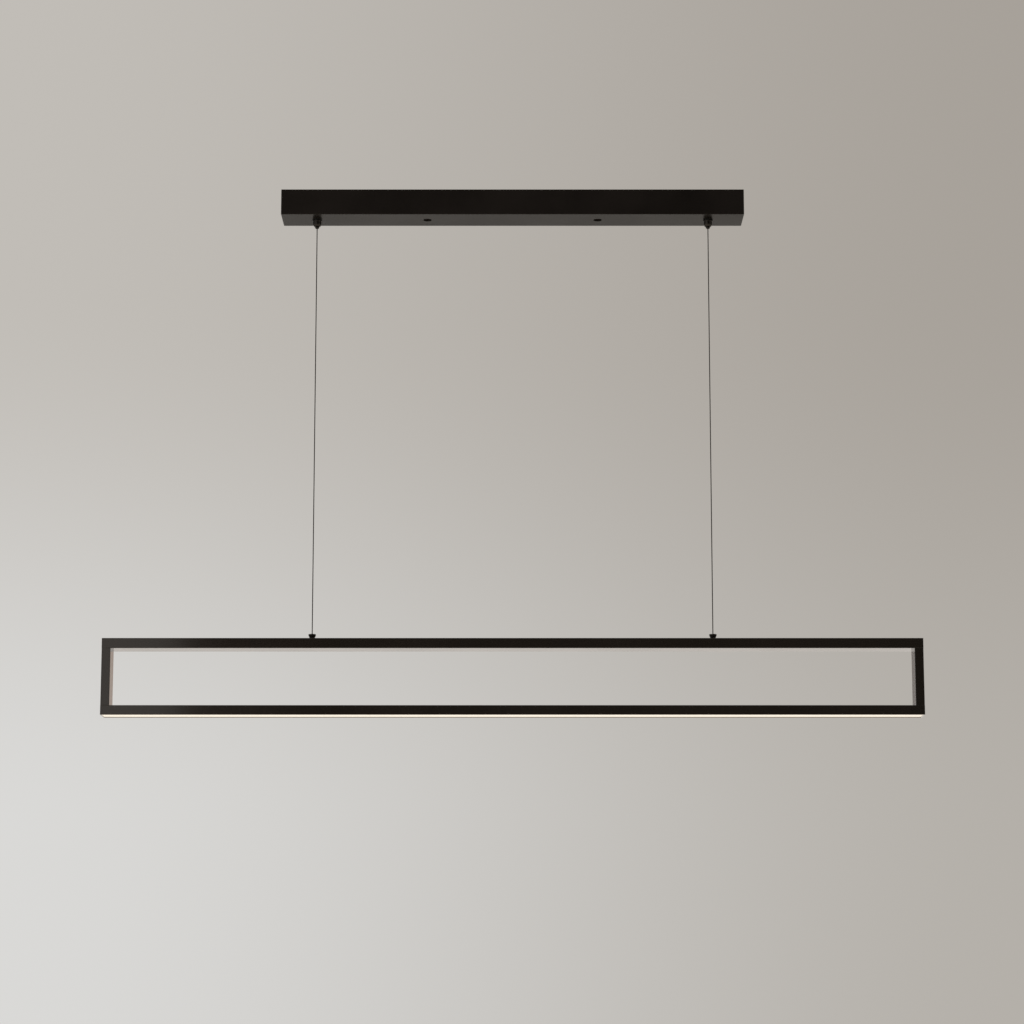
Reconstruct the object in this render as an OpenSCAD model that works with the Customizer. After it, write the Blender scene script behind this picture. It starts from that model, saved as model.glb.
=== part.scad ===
// Linear pendant lamp: a ceiling canopy carries a slim rectangular frame on two thin wires.
// The origin is the centre of the canopy's ceiling face, +Z points up and +X runs along the lamp.

/* [Canopy] */
// Length of the canopy along the lamp
canopy_length = 693; // [664:1:840]
// Depth of the canopy from front to back
canopy_depth = 58; // [47:0.5:70]
// Height of the canopy below the ceiling
canopy_height = 38.5; // [37:0.5:60]
// Thickness of the canopy's steel sheet
canopy_sheet = 1.2; // [0.8:0.1:1.4]
// Distance between the canopy's two fixing screws
screw_spacing = 256; // [250:1:300]

/* [Hanging] */
// Distance between the two suspension wires
wire_spacing = 588; // [580:1:600]
// Drop from the canopy's underside to the top of the frame
wire_drop = 640; // [400:10:1500]
// Diameter of the suspension wires
wire_d = 1.5; // [1.2:0.1:1.8]
// Diameter of the grip balls in each gripper
grip_ball_d = 2.5; // [2.3:0.1:2.6]
// Diameter of the ball swaged on each wire's lower end
end_ball_d = 4; // [3.6:0.1:4.4]

/* [Frame] */
// Length of the frame
frame_length = 1200; // [1190:5:1440]
// Depth of the frame from front to back
frame_depth = 34; // [33:0.5:48]
// Height of the frame
frame_height = 113; // [80:1:240]
// Height of the top rail
top_rail_h = 15; // [14:0.5:22]
// Height of the bottom rail
bottom_rail_h = 14; // [13.5:0.5:22]
// Width of the two end posts
post_w = 13; // [12:0.5:20]
// Wall thickness of the top rail
rail_wall = 1.6; // [1.4:0.1:2]
// Wall thickness of the bottom rail and its lips
lip_wall = 1.8; // [1.4:0.1:2.2]
// Wall thickness of the end posts
post_wall = 1.4; // [1.2:0.1:2]
// Thickness of the end caps
cap_t = 2; // [1:0.5:3]

/* [Light] */
// Depth by which the diffuser sits above the lips
diffuser_recess = 0.7; // [0.3:0.1:1.5]
// Thickness of the diffuser
diffuser_t = 2; // [1.5:0.1:2.4]
// Width of the LED boards
board_w = 12; // [10:1:16]
// Number of LEDs on each board
led_count = 34; // [10:1:60]

/* [Hidden] */
$fn = 48;

satin_black = "#2b2623";
soft_black = "#1c1a19";
steel = "#b9bcc0";
brass = "#c9a24b";
wire_grey = "#5a5048";

slide_gap = 0.05;
fit_gap = 0.1;
through = 1;

// Canopy, bracket and terminals
canopy_corner = 1.4;
canopy_under = -canopy_height;
canopy_floor = canopy_under + canopy_sheet;
cup_r = 6.2;
cup_depth = 6.5;
cup_roof = canopy_floor + cup_depth;
screw_hole_r = 2.25;
screw_r = 1.95;
screw_head_r = 4;
screw_head_h = 2.2;
screw_l = 10;
screw_sides = [-screw_spacing / 2, screw_spacing / 2];

bracket_length = 420;
bracket_w = 40;
bracket_t = 1.5;
bracket_flange = 7.5;
slot_spacing = 340;
slot_l = 12;
slot_w = 5.5;
clinch_r = 2.5;
standoff_flats = 7;

grommet_x = -95;
grommet_bore_r = 4.25;
grommet_neck_r = 7;
grommet_flange_r = 9;
grommet_flange_t = 1.4;
dish_depth = 2;
dish_r = 10.5;

block_x = -60;
block_l = 24;
block_w = 18;
block_h = 14;
pole_pitch = 5.5;
sleeve_w = 3.6;
pole_r = 1.2;
lead_z = -9;
terminal_screw_r = 1.4;
terminal_screw_x = 6;

earth_x = -27;
earth_y = -11;
earth_turn = -15;
earth_r = 2;

// Driver
driver_x0 = -20;
driver_x1 = 115;
driver_w = 35;
driver_h = 24;
driver_wall = 1.5;
driver_top = -bracket_t;
driver_split = driver_top - 14;
driver_under = driver_top - driver_h;
boss_r = 2.8;
boss_inset = 4.5;
boss_y = driver_w / 2 - boss_inset;
driver_board_t = 1.6;
driver_board_top = driver_split - driver_wall;
driver_board_x0 = driver_x0 + 9;
driver_board_x1 = driver_x1 - 9;
connector_l = 7;
mains_r = 1.1;
output_r = 1.1;
output_pole_y = 4;
rivet_r = 1.6;
rivet_xs = [driver_x0 + 24, driver_x1 - 24];
cover_screw_r = 1.05;
cover_screw_head_r = 2.2;

// Grippers
grip_xs = [-wire_spacing / 2, wire_spacing / 2];
bush_r = 7.3;
bush_flange_t = 1;
bush_barrel_r = 6;
gripper_flange_r = 7.1;
gripper_flange_t = 1.5;
gripper_barrel_r = 6.3;
gripper_end_r = 4.4;
gripper_barrel_h = 5.5;
gripper_stud_r = 5;
gripper_stud_top = canopy_floor + 13.3;
gripper_seat = canopy_under - bush_flange_t;
gripper_tip = canopy_under - 13.5;
nose_out = 3;
nose_r = 3;
gripper_end = gripper_tip + nose_out;
guide_h = 3;
grip_cone_z = gripper_end + guide_h;
grip_cone_h = 6;
grip_cone_slope = 0.15;
gripper_bore_r = nose_r + slide_gap + grip_cone_slope * grip_cone_h;
cap_h = 2;
plunger_bore_r = wire_d / 2 + 0.2;
grip_ball_r = grip_ball_d / 2;
grip_ball_orbit = wire_d / 2 + grip_ball_r + slide_gap;
grip_reach = grip_ball_orbit + (grip_ball_r + slide_gap) * sqrt(1 + grip_cone_slope * grip_cone_slope);
grip_ball_z = grip_cone_z + (grip_reach - nose_r - slide_gap) / grip_cone_slope;
cage_r = 2.75;
cage_top = grip_ball_z + grip_ball_r + 1.6;
plunger_neck_r = 2;
collar_top = cage_top + 5;
plunger_collar_r = 3.6;
plunger_collar_t = 1;
spring_r = 2.9;
spring_wire_r = 0.25;
spring_turns = 6;
washer_r = 8;
washer_t = 1;
lug_t = 0.8;
lug_r = 7;
lug_tail = 9;
lug_barrel_l = 7;
lug_barrel_r = 1.9;
nut_flats = 14;
nut_h = 4;
tail_bend_r = 8;
tail_rise_z = gripper_stud_top + 4;
tail_run = 40;

// Frame
frame_top = canopy_under - wire_drop;
frame_bottom = frame_top - frame_height;
top_under = frame_top - top_rail_h;
bottom_top = frame_bottom + bottom_rail_h;
rail_length = frame_length - 2 * cap_t;
rail_corner = 0.6;
post_x = frame_length / 2 - post_w / 2;
port_y = frame_depth / 2 - 6;
port_r = 2.8;
port_bore_r = 1.55;
frame_screw_r = 1.5;
frame_screw_head_r = 2.8;
frame_screw_head_h = 2;
frame_screw_l = 12;
access_r = 3.6;
lead_hole_r = 3;
cap_leg_l = 6;
cap_leg_t = 1.2;
cap_leg_h = 3;
web_t = 2;
web_under = bottom_top - web_t;
rib_in = 0.8;
rib_z = frame_bottom + 6;
rib_h = 1;

// Wire anchors on the top rail
anchor_r = 5.6;
anchor_neck_r = 3.4;
anchor_h = 8;
anchor_stud_r = 3;
anchor_stud_l = 9.5;
anchor_bush_r = 4.2;
anchor_flange_r = 6.5;
anchor_flange_t = 0.8;
anchor_lug_t = 0.6;
anchor_nut_flats = 10;
anchor_nut_h = 4;
end_ball_r = end_ball_d / 2;
end_ball_z = frame_top + 3.2;
end_shank_r = 1.15;
end_shank_h = 4;
seat_hole_r = 1.8;
mouth_r = 3.4;
contact_tail = 8;
contact_barrel_l = 6;
contact_barrel_r = 1.5;
contact_z = frame_top - rail_wall - anchor_flange_t;
lamp_lead_r = 0.9;

// LED boards and diffuser
board_gap = 0.5;
board_end_room = 18.5;
board_length = rail_length / 2 - board_gap - board_end_room;
tape_t = 0.2;
board_t = 1.6;
board_under = web_under - tape_t - board_t;
led_w = 2.8;
led_l = 3.5;
led_h = 0.8;
led_margin = 14;
led_pitch = (board_length - 2 * led_margin) / (led_count - 1);
board_screw_r = 1.2;
board_screw_head_r = 2.2;
board_screw_head_h = 1.4;
board_screw_gaps = [4, floor(led_count / 2), led_count - 6];
diffuser_bottom = frame_bottom + diffuser_recess;
diffuser_y = frame_depth / 2 - lip_wall - fit_gap;
diffuser_leg_y = diffuser_y + fit_gap - rib_in - slide_gap;
diffuser_leg_t = 1.2;
hook_z = rib_z + rib_h + slide_gap;
hook_h = 0.9;

// Routes of the leads, in millimetres
live_route = [
    [-51, 5.5, -9], [-45, 5.5, -9], [-34, 7, -10], [-25, 5.5, -9], [-21.5, 5.5, -9],
    [-11, 5.5, -9]
];
neutral_route = [
    [-51, 0, -9], [-45, 0, -9], [-34, 1.5, -10.5], [-25, 0, -9], [-21.5, 0, -9], [-11, 0, -9]
];
earth_route = [
    [-51, -5.5, -9], [-46, -5.5, -9], [-42, -6.6, -7.2], [-39.5, -7.5, -4.8],
    [-36.7, -8.4, -3.9], [-34.7, -8.9, -3.9], [-31.8, -9.7, -3.9]
];
output_right_route = [
    [106, -4, -9], [111, -4, -9], [116, -4, -9], [121, -8, -13], [128, -12, -20],
    [140, -14, -30], [152, -14, -35], [166, -14, -36], [240, -14, -36], [252, -12, -36],
    [262, -5, -35], [270, 0, -33.9], [276, 0, -33.9], [283, 0, -33.9]
];
output_left_route = [
    [106, 4, -9], [111, 4, -9], [116, 4, -9], [120.5, 8, -11], [120.5, 15, -16], [114, 19, -24],
    [102, 20, -32], [88, 20, -35.5], [74, 20, -36], [-230, 20, -36], [-246, 18, -36],
    [-260, 6, -35], [-270, 0, -33.9], [-276, 0, -33.9], [-283, 0, -33.9]
];
lamp_lead_route = [
    [303, 0, -682.7], [309, 0, -682.7], [312, 0, -682.7], [322, 0, -684.5], [333, 0, -689],
    [346, 0, -690.5], [570, 0, -690.5], [582, 0, -690.5], [588.5, 0, -690.4],
    [592.6, 0, -691.8], [593.5, 0, -696], [593.5, 0, -708], [593.5, 0, -770],
    [593.5, 0, -777], [592.6, 0, -780.8], [589, 0, -783.4], [584, 0, -782.6],
    [578, 0, -782.2], [573, 0, -782.2]
];

// Shared shapes

module rounded_outline(w, d, r) {
    square([w - 2 * r, d], center = true);
    square([w, d - 2 * r], center = true);
    for (sx = [-1, 1], sy = [-1, 1])
        translate([sx * (w / 2 - r), sy * (d / 2 - r)]) circle(r = r);
}

module slot_outline(l, w) {
    square([l - w, w], center = true);
    for (sx = [-1, 1]) translate([sx * (l - w) / 2, 0]) circle(d = w);
}

// A plain block that spans x, y and z, each given as [low, high]
module block(x, y, z) {
    translate([x[0], y[0], z[0]]) cube([x[1] - x[0], y[1] - y[0], z[1] - z[0]]);
}

// A straight rod along Z between two heights
module rod(r, low, high) {
    translate([0, 0, low]) cylinder(r = r, h = high - low);
}

module ring(outer, inner, low, high) {
    difference() {
        rod(outer, low, high);
        rod(inner, low - through, high + through);
    }
}

// A hexagon bar along Z, given by the width across its flats
module hexagon(flats, low, high) {
    translate([0, 0, low]) cylinder(d = flats / cos(30), h = high - low, $fn = 6);
}

// A rail profile drawn as [depth, height] and run along X
module along_x(length) {
    translate([-length / 2, 0, 0]) rotate([90, 0, 90]) linear_extrude(length) children();
}

// Swept tubes for the leads and springs

function unit(v) = v / norm(v);
function heading(p, i) = unit(p[min(i + 1, len(p) - 1)] - p[max(i - 1, 0)]);
function eased(p, i, s) = let(
    a = p[i], b = p[i + 1], l = norm(b - a), u = heading(p, i) * l, v = heading(p, i + 1) * l
) a * (2 * s ^ 3 - 3 * s ^ 2 + 1) + u * (s ^ 3 - 2 * s ^ 2 + s)
    + b * (3 * s ^ 2 - 2 * s ^ 3) + v * (s ^ 3 - s ^ 2);
function smooth(p, steps) = concat(
    [for (i = [0 : len(p) - 2], k = [0 : steps - 1]) eased(p, i, k / steps)],
    [p[len(p) - 1]]
);
function level(n, t) = unit(n - (n * t) * t);
function carried(p, n, i = 0) = i == len(p) ? [] :
    let(m = level(n, heading(p, i))) concat([m], carried(p, m, i + 1));

module tube(p, r, sides, start) {
    n = carried(p, start);
    count = len(p);
    points = [
        for (i = [0 : count - 1], k = [0 : sides - 1])
            let(a = 360 * k / sides, m = cross(heading(p, i), n[i]))
                p[i] + r * (cos(a) * n[i] + sin(a) * m)
    ];
    walls = [
        for (i = [0 : count - 2], k = [0 : sides - 1])
            let(j = (k + 1) % sides)
                [i * sides + k, (i + 1) * sides + k, (i + 1) * sides + j, i * sides + j]
    ];
    near_end = [for (k = [0 : sides - 1]) k];
    far_end = [for (k = [sides - 1 : -1 : 0]) (count - 1) * sides + k];
    polyhedron(points, concat(walls, [near_end, far_end]), convexity = 10);
}

// Canopy and ceiling bracket

module canopy_shell() {
    color(satin_black)
    difference() {
        union() {
            difference() {
                translate([0, 0, canopy_under]) linear_extrude(canopy_height)
                    rounded_outline(canopy_length, canopy_depth, canopy_corner);
                translate([0, 0, canopy_floor]) linear_extrude(canopy_height)
                    rounded_outline(
                        canopy_length - 2 * canopy_sheet, canopy_depth - 2 * canopy_sheet, 0.2
                    );
            }
            for (x = screw_sides)
                translate([x, 0, 0]) rod(cup_r + canopy_sheet, canopy_under, cup_roof);
        }
        for (x = screw_sides) translate([x, 0, 0]) {
            rod(cup_r, canopy_under - through, canopy_under + cup_depth);
            rod(screw_hole_r, canopy_under, cup_roof + through);
        }
        for (x = grip_xs)
            translate([x, 0, 0])
                rod(bush_barrel_r + fit_gap, canopy_under - through, canopy_floor + through);
    }
}

module ceiling_bracket() {
    color(steel)
    difference() {
        union() {
            block([-bracket_length / 2, bracket_length / 2], [-bracket_w / 2, bracket_w / 2],
                [-bracket_t, 0]);
            for (s = [-1, 1])
                block([-bracket_length / 2, bracket_length / 2],
                    [s * bracket_w / 2 - (s + 1) / 2 * bracket_t,
                        s * bracket_w / 2 - (s - 1) / 2 * bracket_t],
                    [-bracket_flange, 0]);
            translate([grommet_x, 0, 0]) rod(dish_r + bracket_t, -dish_depth - bracket_t, 0);
        }
        translate([grommet_x, 0, 0]) {
            rod(dish_r, -dish_depth, through);
            rod(grommet_neck_r + slide_gap, -dish_depth - bracket_t - through, 0);
        }
        for (s = [-1, 1])
            translate([s * slot_spacing / 2, 0, -bracket_t - through])
                linear_extrude(bracket_t + 2 * through) slot_outline(slot_l, slot_w);
        for (x = screw_sides)
            translate([x, 0, 0]) rod(clinch_r + slide_gap, -bracket_t - through, through);
        translate([earth_x, earth_y, 0]) rod(clinch_r + slide_gap, -bracket_t - through, through);
        rivet_places() rod(rivet_r + slide_gap, -bracket_t - through, through);
    }
}

module bracket_standoffs() {
    color(steel)
    for (x = screw_sides) translate([x, 0, 0])
        difference() {
            union() {
                hexagon(standoff_flats, cup_roof, -bracket_t);
                rod(clinch_r, -bracket_t, 0);
            }
            rod(screw_r + slide_gap, cup_roof - through, cup_roof + screw_l + 2);
        }
}

module canopy_screws() {
    under_head = canopy_under + cup_depth;
    color(soft_black)
    for (x = screw_sides) translate([x, 0, 0])
        difference() {
            union() {
                rod(screw_head_r, under_head - screw_head_h, under_head);
                rod(screw_r, under_head, under_head + screw_l);
            }
            for (a = [0, 90]) rotate([0, 0, a])
                block([-2.2, 2.2], [-0.5, 0.5],
                    [under_head - screw_head_h - through, under_head - screw_head_h + 1.3]);
        }
}

module cable_grommet() {
    plate_top = -dish_depth;
    plate_under = plate_top - bracket_t;
    color(soft_black) translate([grommet_x, 0, 0])
        difference() {
            union() {
                rod(grommet_flange_r, plate_top, plate_top + grommet_flange_t);
                rod(grommet_neck_r, plate_under, plate_top);
                rod(grommet_flange_r, plate_under - grommet_flange_t, plate_under);
            }
            rod(grommet_bore_r, plate_under - 3 * through, through);
        }
}

// Terminals and earth

module pole_places() {
    for (k = [-1 : 1]) translate([block_x, k * pole_pitch, 0]) children();
}

module terminal_block() {
    low = -bracket_t - block_h;
    color("#d8d5cc")
    difference() {
        block([block_x - block_l / 2, block_x + block_l / 2], [-block_w / 2, block_w / 2],
            [low, -bracket_t]);
        pole_places() {
            translate([0, 0, lead_z])
                cube([block_l + 2 * through, sleeve_w, sleeve_w], center = true);
            for (s = [-1, 1]) translate([s * terminal_screw_x, 0, 0])
                rod(terminal_screw_r + 0.3, low - through, lead_z);
        }
    }
}

module terminal_sleeves() {
    length = block_l - 4;
    color(brass)
    pole_places()
        difference() {
            translate([0, 0, lead_z]) cube([length, sleeve_w, sleeve_w], center = true);
            translate([-length / 2 - through, 0, lead_z])
                rotate([0, 90, 0]) cylinder(r = pole_r, h = length + 2 * through);
            for (s = [-1, 1]) translate([s * terminal_screw_x, 0, 0])
                rod(terminal_screw_r + slide_gap, lead_z - sleeve_w, lead_z);
        }
}

module terminal_screws() {
    top = lead_z - pole_r - slide_gap;
    low = -bracket_t - block_h + 1.5;
    color(steel)
    pole_places()
        for (s = [-1, 1]) translate([s * terminal_screw_x, 0, 0])
            difference() {
                rod(terminal_screw_r, low, top);
                block([-2, 2], [-0.25, 0.25], [low - through, low + 0.8]);
            }
}

module earth_stud() {
    color(brass) translate([earth_x, earth_y, 0]) {
        rod(clinch_r, -bracket_t, 0);
        rod(earth_r, -bracket_t - 9, -bracket_t);
    }
}

module earth_nut() {
    color(brass) translate([earth_x, earth_y, 0])
        difference() {
            hexagon(7, -bracket_t - lug_t - 3, -bracket_t - lug_t);
            rod(earth_r + slide_gap, -bracket_t - 9, 0);
        }
}

// A ring tongue with a crimp barrel: the barrel lies toward -X, its open end outermost
module lug(ring_r, hole_r, t, tail, barrel_r, barrel_l, lead_r) {
    barrel_z = -t - barrel_r + 0.3;
    difference() {
        union() {
            rod(ring_r, -t, 0);
            block([-tail - 1, 0], [-barrel_r, barrel_r], [-t, 0]);
            translate([-tail - barrel_l, 0, barrel_z]) rotate([0, 90, 0])
                cylinder(r = barrel_r, h = barrel_l);
        }
        rod(hole_r, -t - through, through);
        translate([-tail - barrel_l - through, 0, barrel_z]) rotate([0, 90, 0])
            cylinder(r = lead_r + slide_gap, h = barrel_l + through - 0.6);
    }
}

module earth_lug() {
    color(brass) translate([earth_x, earth_y, -bracket_t]) rotate([0, 0, earth_turn])
        lug(3.8, earth_r + slide_gap, lug_t, 4, 1.9, 4, mains_r);
}

module earth_lead() {
    color("#6f9a2c") tube(smooth(earth_route, 4), mains_r, 8, [0, 0, 1]);
}

module mains_lead_live() {
    color("#6b3a1f") tube(smooth(live_route, 4), mains_r, 8, [0, 0, 1]);
}

module mains_lead_neutral() {
    color("#2d5d9c") tube(smooth(neutral_route, 4), mains_r, 8, [0, 0, 1]);
}

// Driver

module corner_places() {
    for (x = [driver_x0 + boss_inset, driver_x1 - boss_inset], y = [-boss_y, boss_y])
        translate([x, y, 0]) children();
}

module rivet_places() {
    for (x = rivet_xs) translate([x, 0, 0]) children();
}

module driver_tray() {
    color("#e4e2dc")
    difference() {
        union() {
            difference() {
                block([driver_x0, driver_x1], [-driver_w / 2, driver_w / 2],
                    [driver_split, driver_top]);
                block([driver_x0 + driver_wall, driver_x1 - driver_wall],
                    [-driver_w / 2 + driver_wall, driver_w / 2 - driver_wall],
                    [driver_split - through, driver_top - driver_wall]);
            }
            corner_places() rod(boss_r, driver_split, driver_top - driver_wall);
        }
        corner_places() rod(cover_screw_r + slide_gap, driver_split - through, driver_split + 9);
        rivet_places() rod(rivet_r + slide_gap, driver_top - 2 * driver_wall, driver_top + through);
        for (y = [0, pole_pitch])
            translate([driver_x0 - through, y, lead_z]) rotate([0, 90, 0])
                cylinder(r = mains_r + fit_gap, h = driver_wall + 2 * through);
        for (y = [-output_pole_y, output_pole_y])
            translate([driver_x1 - driver_wall - through, y, lead_z]) rotate([0, 90, 0])
                cylinder(r = output_r + 0.4, h = driver_wall + 2 * through);
    }
}

module driver_cover() {
    color("#dcdad3")
    difference() {
        union() {
            difference() {
                block([driver_x0, driver_x1], [-driver_w / 2, driver_w / 2],
                    [driver_under, driver_split]);
                block([driver_x0 + driver_wall, driver_x1 - driver_wall],
                    [-driver_w / 2 + driver_wall, driver_w / 2 - driver_wall],
                    [driver_under + driver_wall, driver_split + through]);
            }
            corner_places() rod(boss_r, driver_under, driver_split);
            for (x = [driver_board_x0 + 8, driver_board_x1 - 8])
                block([x - 1, x + 1], [-driver_w / 2 + 1, driver_w / 2 - 1],
                    [driver_under + 1, driver_board_top - driver_board_t]);
        }
        corner_places() {
            rod(1.6, driver_under - through, driver_split + through);
            rod(cover_screw_head_r + fit_gap, driver_under - through, driver_under + 2);
        }
    }
}

module driver_board() {
    color("#2f7a46")
    block([driver_board_x0, driver_board_x1], [-boss_y - 2, boss_y + 2],
        [driver_board_top - driver_board_t, driver_board_top]);
}

module board_block(x, y, h, side) {
    low = side > 0 ? driver_board_top : driver_board_top - driver_board_t - h;
    block(x, y, [low, low + h]);
}

module board_can(x, y, r, h) {
    translate([x, y, 0]) rod(r, driver_board_top, driver_board_top + h);
}

module driver_components() {
    // input terminal, fuse and filter
    color("#3f6f3a")
        board_block([driver_board_x0, driver_board_x0 + connector_l], [-4, 9.5], 11, 1);
    color("#c8b48c") board_can(driver_board_x0 + 13, -9, 2.5, 8);
    color("#c9a227") board_block([10, 22], [-4, 3], 10, 1);
    color("#3a2f29") board_can(18, 9.5, 4.5, 10);
    // bulk capacitor, transformer and its core
    color("#23303f") board_can(34, 0, 6, 11.5);
    color("#4a4642") board_block([46, 66], [-10, 10], 8, 1);
    color("#d7b25a") board_block([49, 63], [-6, 6], 11.5, 1);
    // output capacitors, choke and terminal
    color("#23303f") board_can(76, -7, 4, 11);
    color("#23303f") board_can(76, 7, 4, 11);
    color("#6a4a2b") board_can(88, 0, 5.5, 8);
    color("#3f6f3a")
        board_block([driver_board_x1 - connector_l, driver_board_x1], [-7, 7], 11, 1);
    // controller and rectifier under the board
    color("#1a1a1a") board_block([28, 34], [-3, 3], 1.6, -1);
    color("#1a1a1a") board_block([70, 77], [-4, 4], 1.8, -1);
}

module driver_screws() {
    color(steel)
    corner_places() {
        difference() {
            rod(cover_screw_head_r, driver_under + 0.4, driver_under + 2);
            block([-1.6, 1.6], [-0.3, 0.3], [driver_under, driver_under + 1.2]);
        }
        rod(cover_screw_r, driver_under + 2, driver_split + 8);
    }
}

module driver_rivets() {
    color(steel)
    rivet_places() {
        rod(2.8, driver_top - driver_wall - 0.9, driver_top - driver_wall);
        rod(rivet_r, driver_top - driver_wall, -0.3);
    }
}

// Output leads and their lugs

module output_lead_left() {
    color("#2a2a2c") tube(smooth(output_left_route, 4), output_r, 8, [0, 0, 1]);
}

module output_lead_right() {
    color("#8c2a22") tube(smooth(output_right_route, 4), output_r, 8, [0, 0, 1]);
}

// Places its children once at each wire and turns the far one round to face the middle
module at_each_wire() {
    for (x = grip_xs) translate([x, 0, 0]) rotate([0, 0, x < 0 ? 180 : 0]) children();
}

module output_lugs() {
    color(steel)
    at_each_wire() translate([0, 0, canopy_floor + washer_t]) mirror([0, 0, 1])
        lug(lug_r, gripper_stud_r + fit_gap, lug_t, lug_tail, lug_barrel_r, lug_barrel_l, output_r);
}

// Grippers

module insulating_washers() {
    color("#e9e6dc")
    at_each_wire() ring(washer_r, gripper_stud_r + fit_gap, canopy_floor, canopy_floor + washer_t);
}

module gripper_bushes() {
    color(soft_black)
    at_each_wire()
        difference() {
            union() {
                rod(bush_r, gripper_seat, canopy_under);
                rod(bush_barrel_r, canopy_under, canopy_floor);
            }
            rod(gripper_stud_r + fit_gap, gripper_seat - through, canopy_floor + through);
        }
}

module gripper_nuts() {
    low = canopy_floor + washer_t + lug_t;
    color(steel)
    at_each_wire()
        difference() {
            hexagon(nut_flats, low, low + nut_h);
            rod(gripper_stud_r + slide_gap, low - through, low + nut_h + through);
        }
}

module gripper_body(x) {
    taper_z = gripper_seat - gripper_flange_t - gripper_barrel_h;
    color(soft_black) translate([x, 0, 0]) rotate_extrude()
        polygon([
            [nose_r + slide_gap, gripper_end],
            [gripper_end_r, gripper_end],
            [gripper_barrel_r, taper_z],
            [gripper_barrel_r, gripper_seat - gripper_flange_t],
            [gripper_flange_r, gripper_seat - gripper_flange_t],
            [gripper_flange_r, gripper_seat],
            [gripper_stud_r, gripper_seat],
            [gripper_stud_r, gripper_stud_top],
            [gripper_bore_r, gripper_stud_top],
            [gripper_bore_r, grip_cone_z + grip_cone_h],
            [nose_r + slide_gap, grip_cone_z]
        ]);
}

module gripper_body_left() {
    gripper_body(grip_xs[0]);
}

module gripper_body_right() {
    gripper_body(grip_xs[1]);
}

module gripper_caps() {
    color(steel)
    at_each_wire()
        ring(gripper_bore_r - 0.02, plunger_bore_r, gripper_stud_top - cap_h, gripper_stud_top);
}

module gripper_spring(x) {
    top = gripper_stud_top - cap_h - spring_wire_r - 0.02;
    low = collar_top + spring_wire_r + 0.02;
    steps = 14 * spring_turns;
    coil = [
        for (i = [0 : steps])
            let(a = 360 * spring_turns * i / steps)
                [x + spring_r * cos(a), spring_r * sin(a), low + (top - low) * i / steps]
    ];
    color(steel) tube(coil, spring_wire_r, 6, [1, 0, 0]);
}

module gripper_spring_left() {
    gripper_spring(grip_xs[0]);
}

module gripper_spring_right() {
    gripper_spring(grip_xs[1]);
}

module grip_ball_places() {
    for (a = [0, 120, 240]) rotate([0, 0, a])
        translate([grip_ball_orbit, 0, grip_ball_z]) children();
}

module gripper_plunger(x) {
    tip_round = 1.2;
    color(soft_black) translate([x, 0, 0])
        difference() {
            union() {
                rotate_extrude() {
                    translate([0, gripper_tip + tip_round])
                        square([nose_r, grip_cone_z - gripper_tip - tip_round]);
                    translate([0, gripper_tip]) square([nose_r - tip_round, tip_round]);
                    translate([nose_r - tip_round, gripper_tip + tip_round]) circle(r = tip_round);
                }
                rod(cage_r, grip_cone_z, cage_top);
                rod(plunger_neck_r, grip_cone_z, collar_top);
                rod(plunger_collar_r, collar_top - plunger_collar_t, collar_top);
            }
            rod(plunger_bore_r, gripper_tip - through, collar_top + through);
            translate([0, 0, gripper_tip - 0.01])
                cylinder(r1 = nose_r - tip_round - 0.3, r2 = plunger_bore_r, h = 1.5);
            for (a = [0, 120, 240]) rotate([0, 0, a])
                translate([grip_ball_orbit - grip_ball_r, 0, grip_ball_z]) rotate([0, 90, 0])
                    cylinder(r = grip_ball_r + slide_gap, h = cage_r);
        }
}

module gripper_plunger_left() {
    gripper_plunger(grip_xs[0]);
}

module gripper_plunger_right() {
    gripper_plunger(grip_xs[1]);
}

module gripper_balls(x) {
    color(steel) translate([x, 0, 0]) grip_ball_places() sphere(r = grip_ball_r);
}

module gripper_balls_left() {
    gripper_balls(grip_xs[0]);
}

module gripper_balls_right() {
    gripper_balls(grip_xs[1]);
}

// Suspension wires: the free length below the gripper and the spare end above it

module wire_tail() {
    rod(wire_d / 2, gripper_tip, tail_rise_z);
    translate([-tail_bend_r, 0, tail_rise_z]) rotate([90, 0, 0])
        rotate_extrude(angle = 90) translate([tail_bend_r, 0]) circle(d = wire_d);
    translate([-tail_bend_r - tail_run, 0, tail_rise_z + tail_bend_r]) rotate([0, 90, 0])
        cylinder(d = wire_d, h = tail_run);
}

module wire_tail_left() {
    color(wire_grey) translate([grip_xs[0], 0, 0]) mirror([1, 0, 0]) wire_tail();
}

module wire_tail_right() {
    color(wire_grey) translate([grip_xs[1], 0, 0]) wire_tail();
}

module suspension_wire(x) {
    color(wire_grey) translate([x, 0, 0]) rod(wire_d / 2, end_ball_z + end_shank_h, gripper_tip);
}

module suspension_wire_left() {
    suspension_wire(grip_xs[0]);
}

module suspension_wire_right() {
    suspension_wire(grip_xs[1]);
}

module wire_ends() {
    color(steel)
    at_each_wire() {
        translate([0, 0, end_ball_z]) sphere(r = end_ball_r);
        rod(end_shank_r, end_ball_z, end_ball_z + end_shank_h);
    }
}

// Anchors on the top rail

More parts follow.
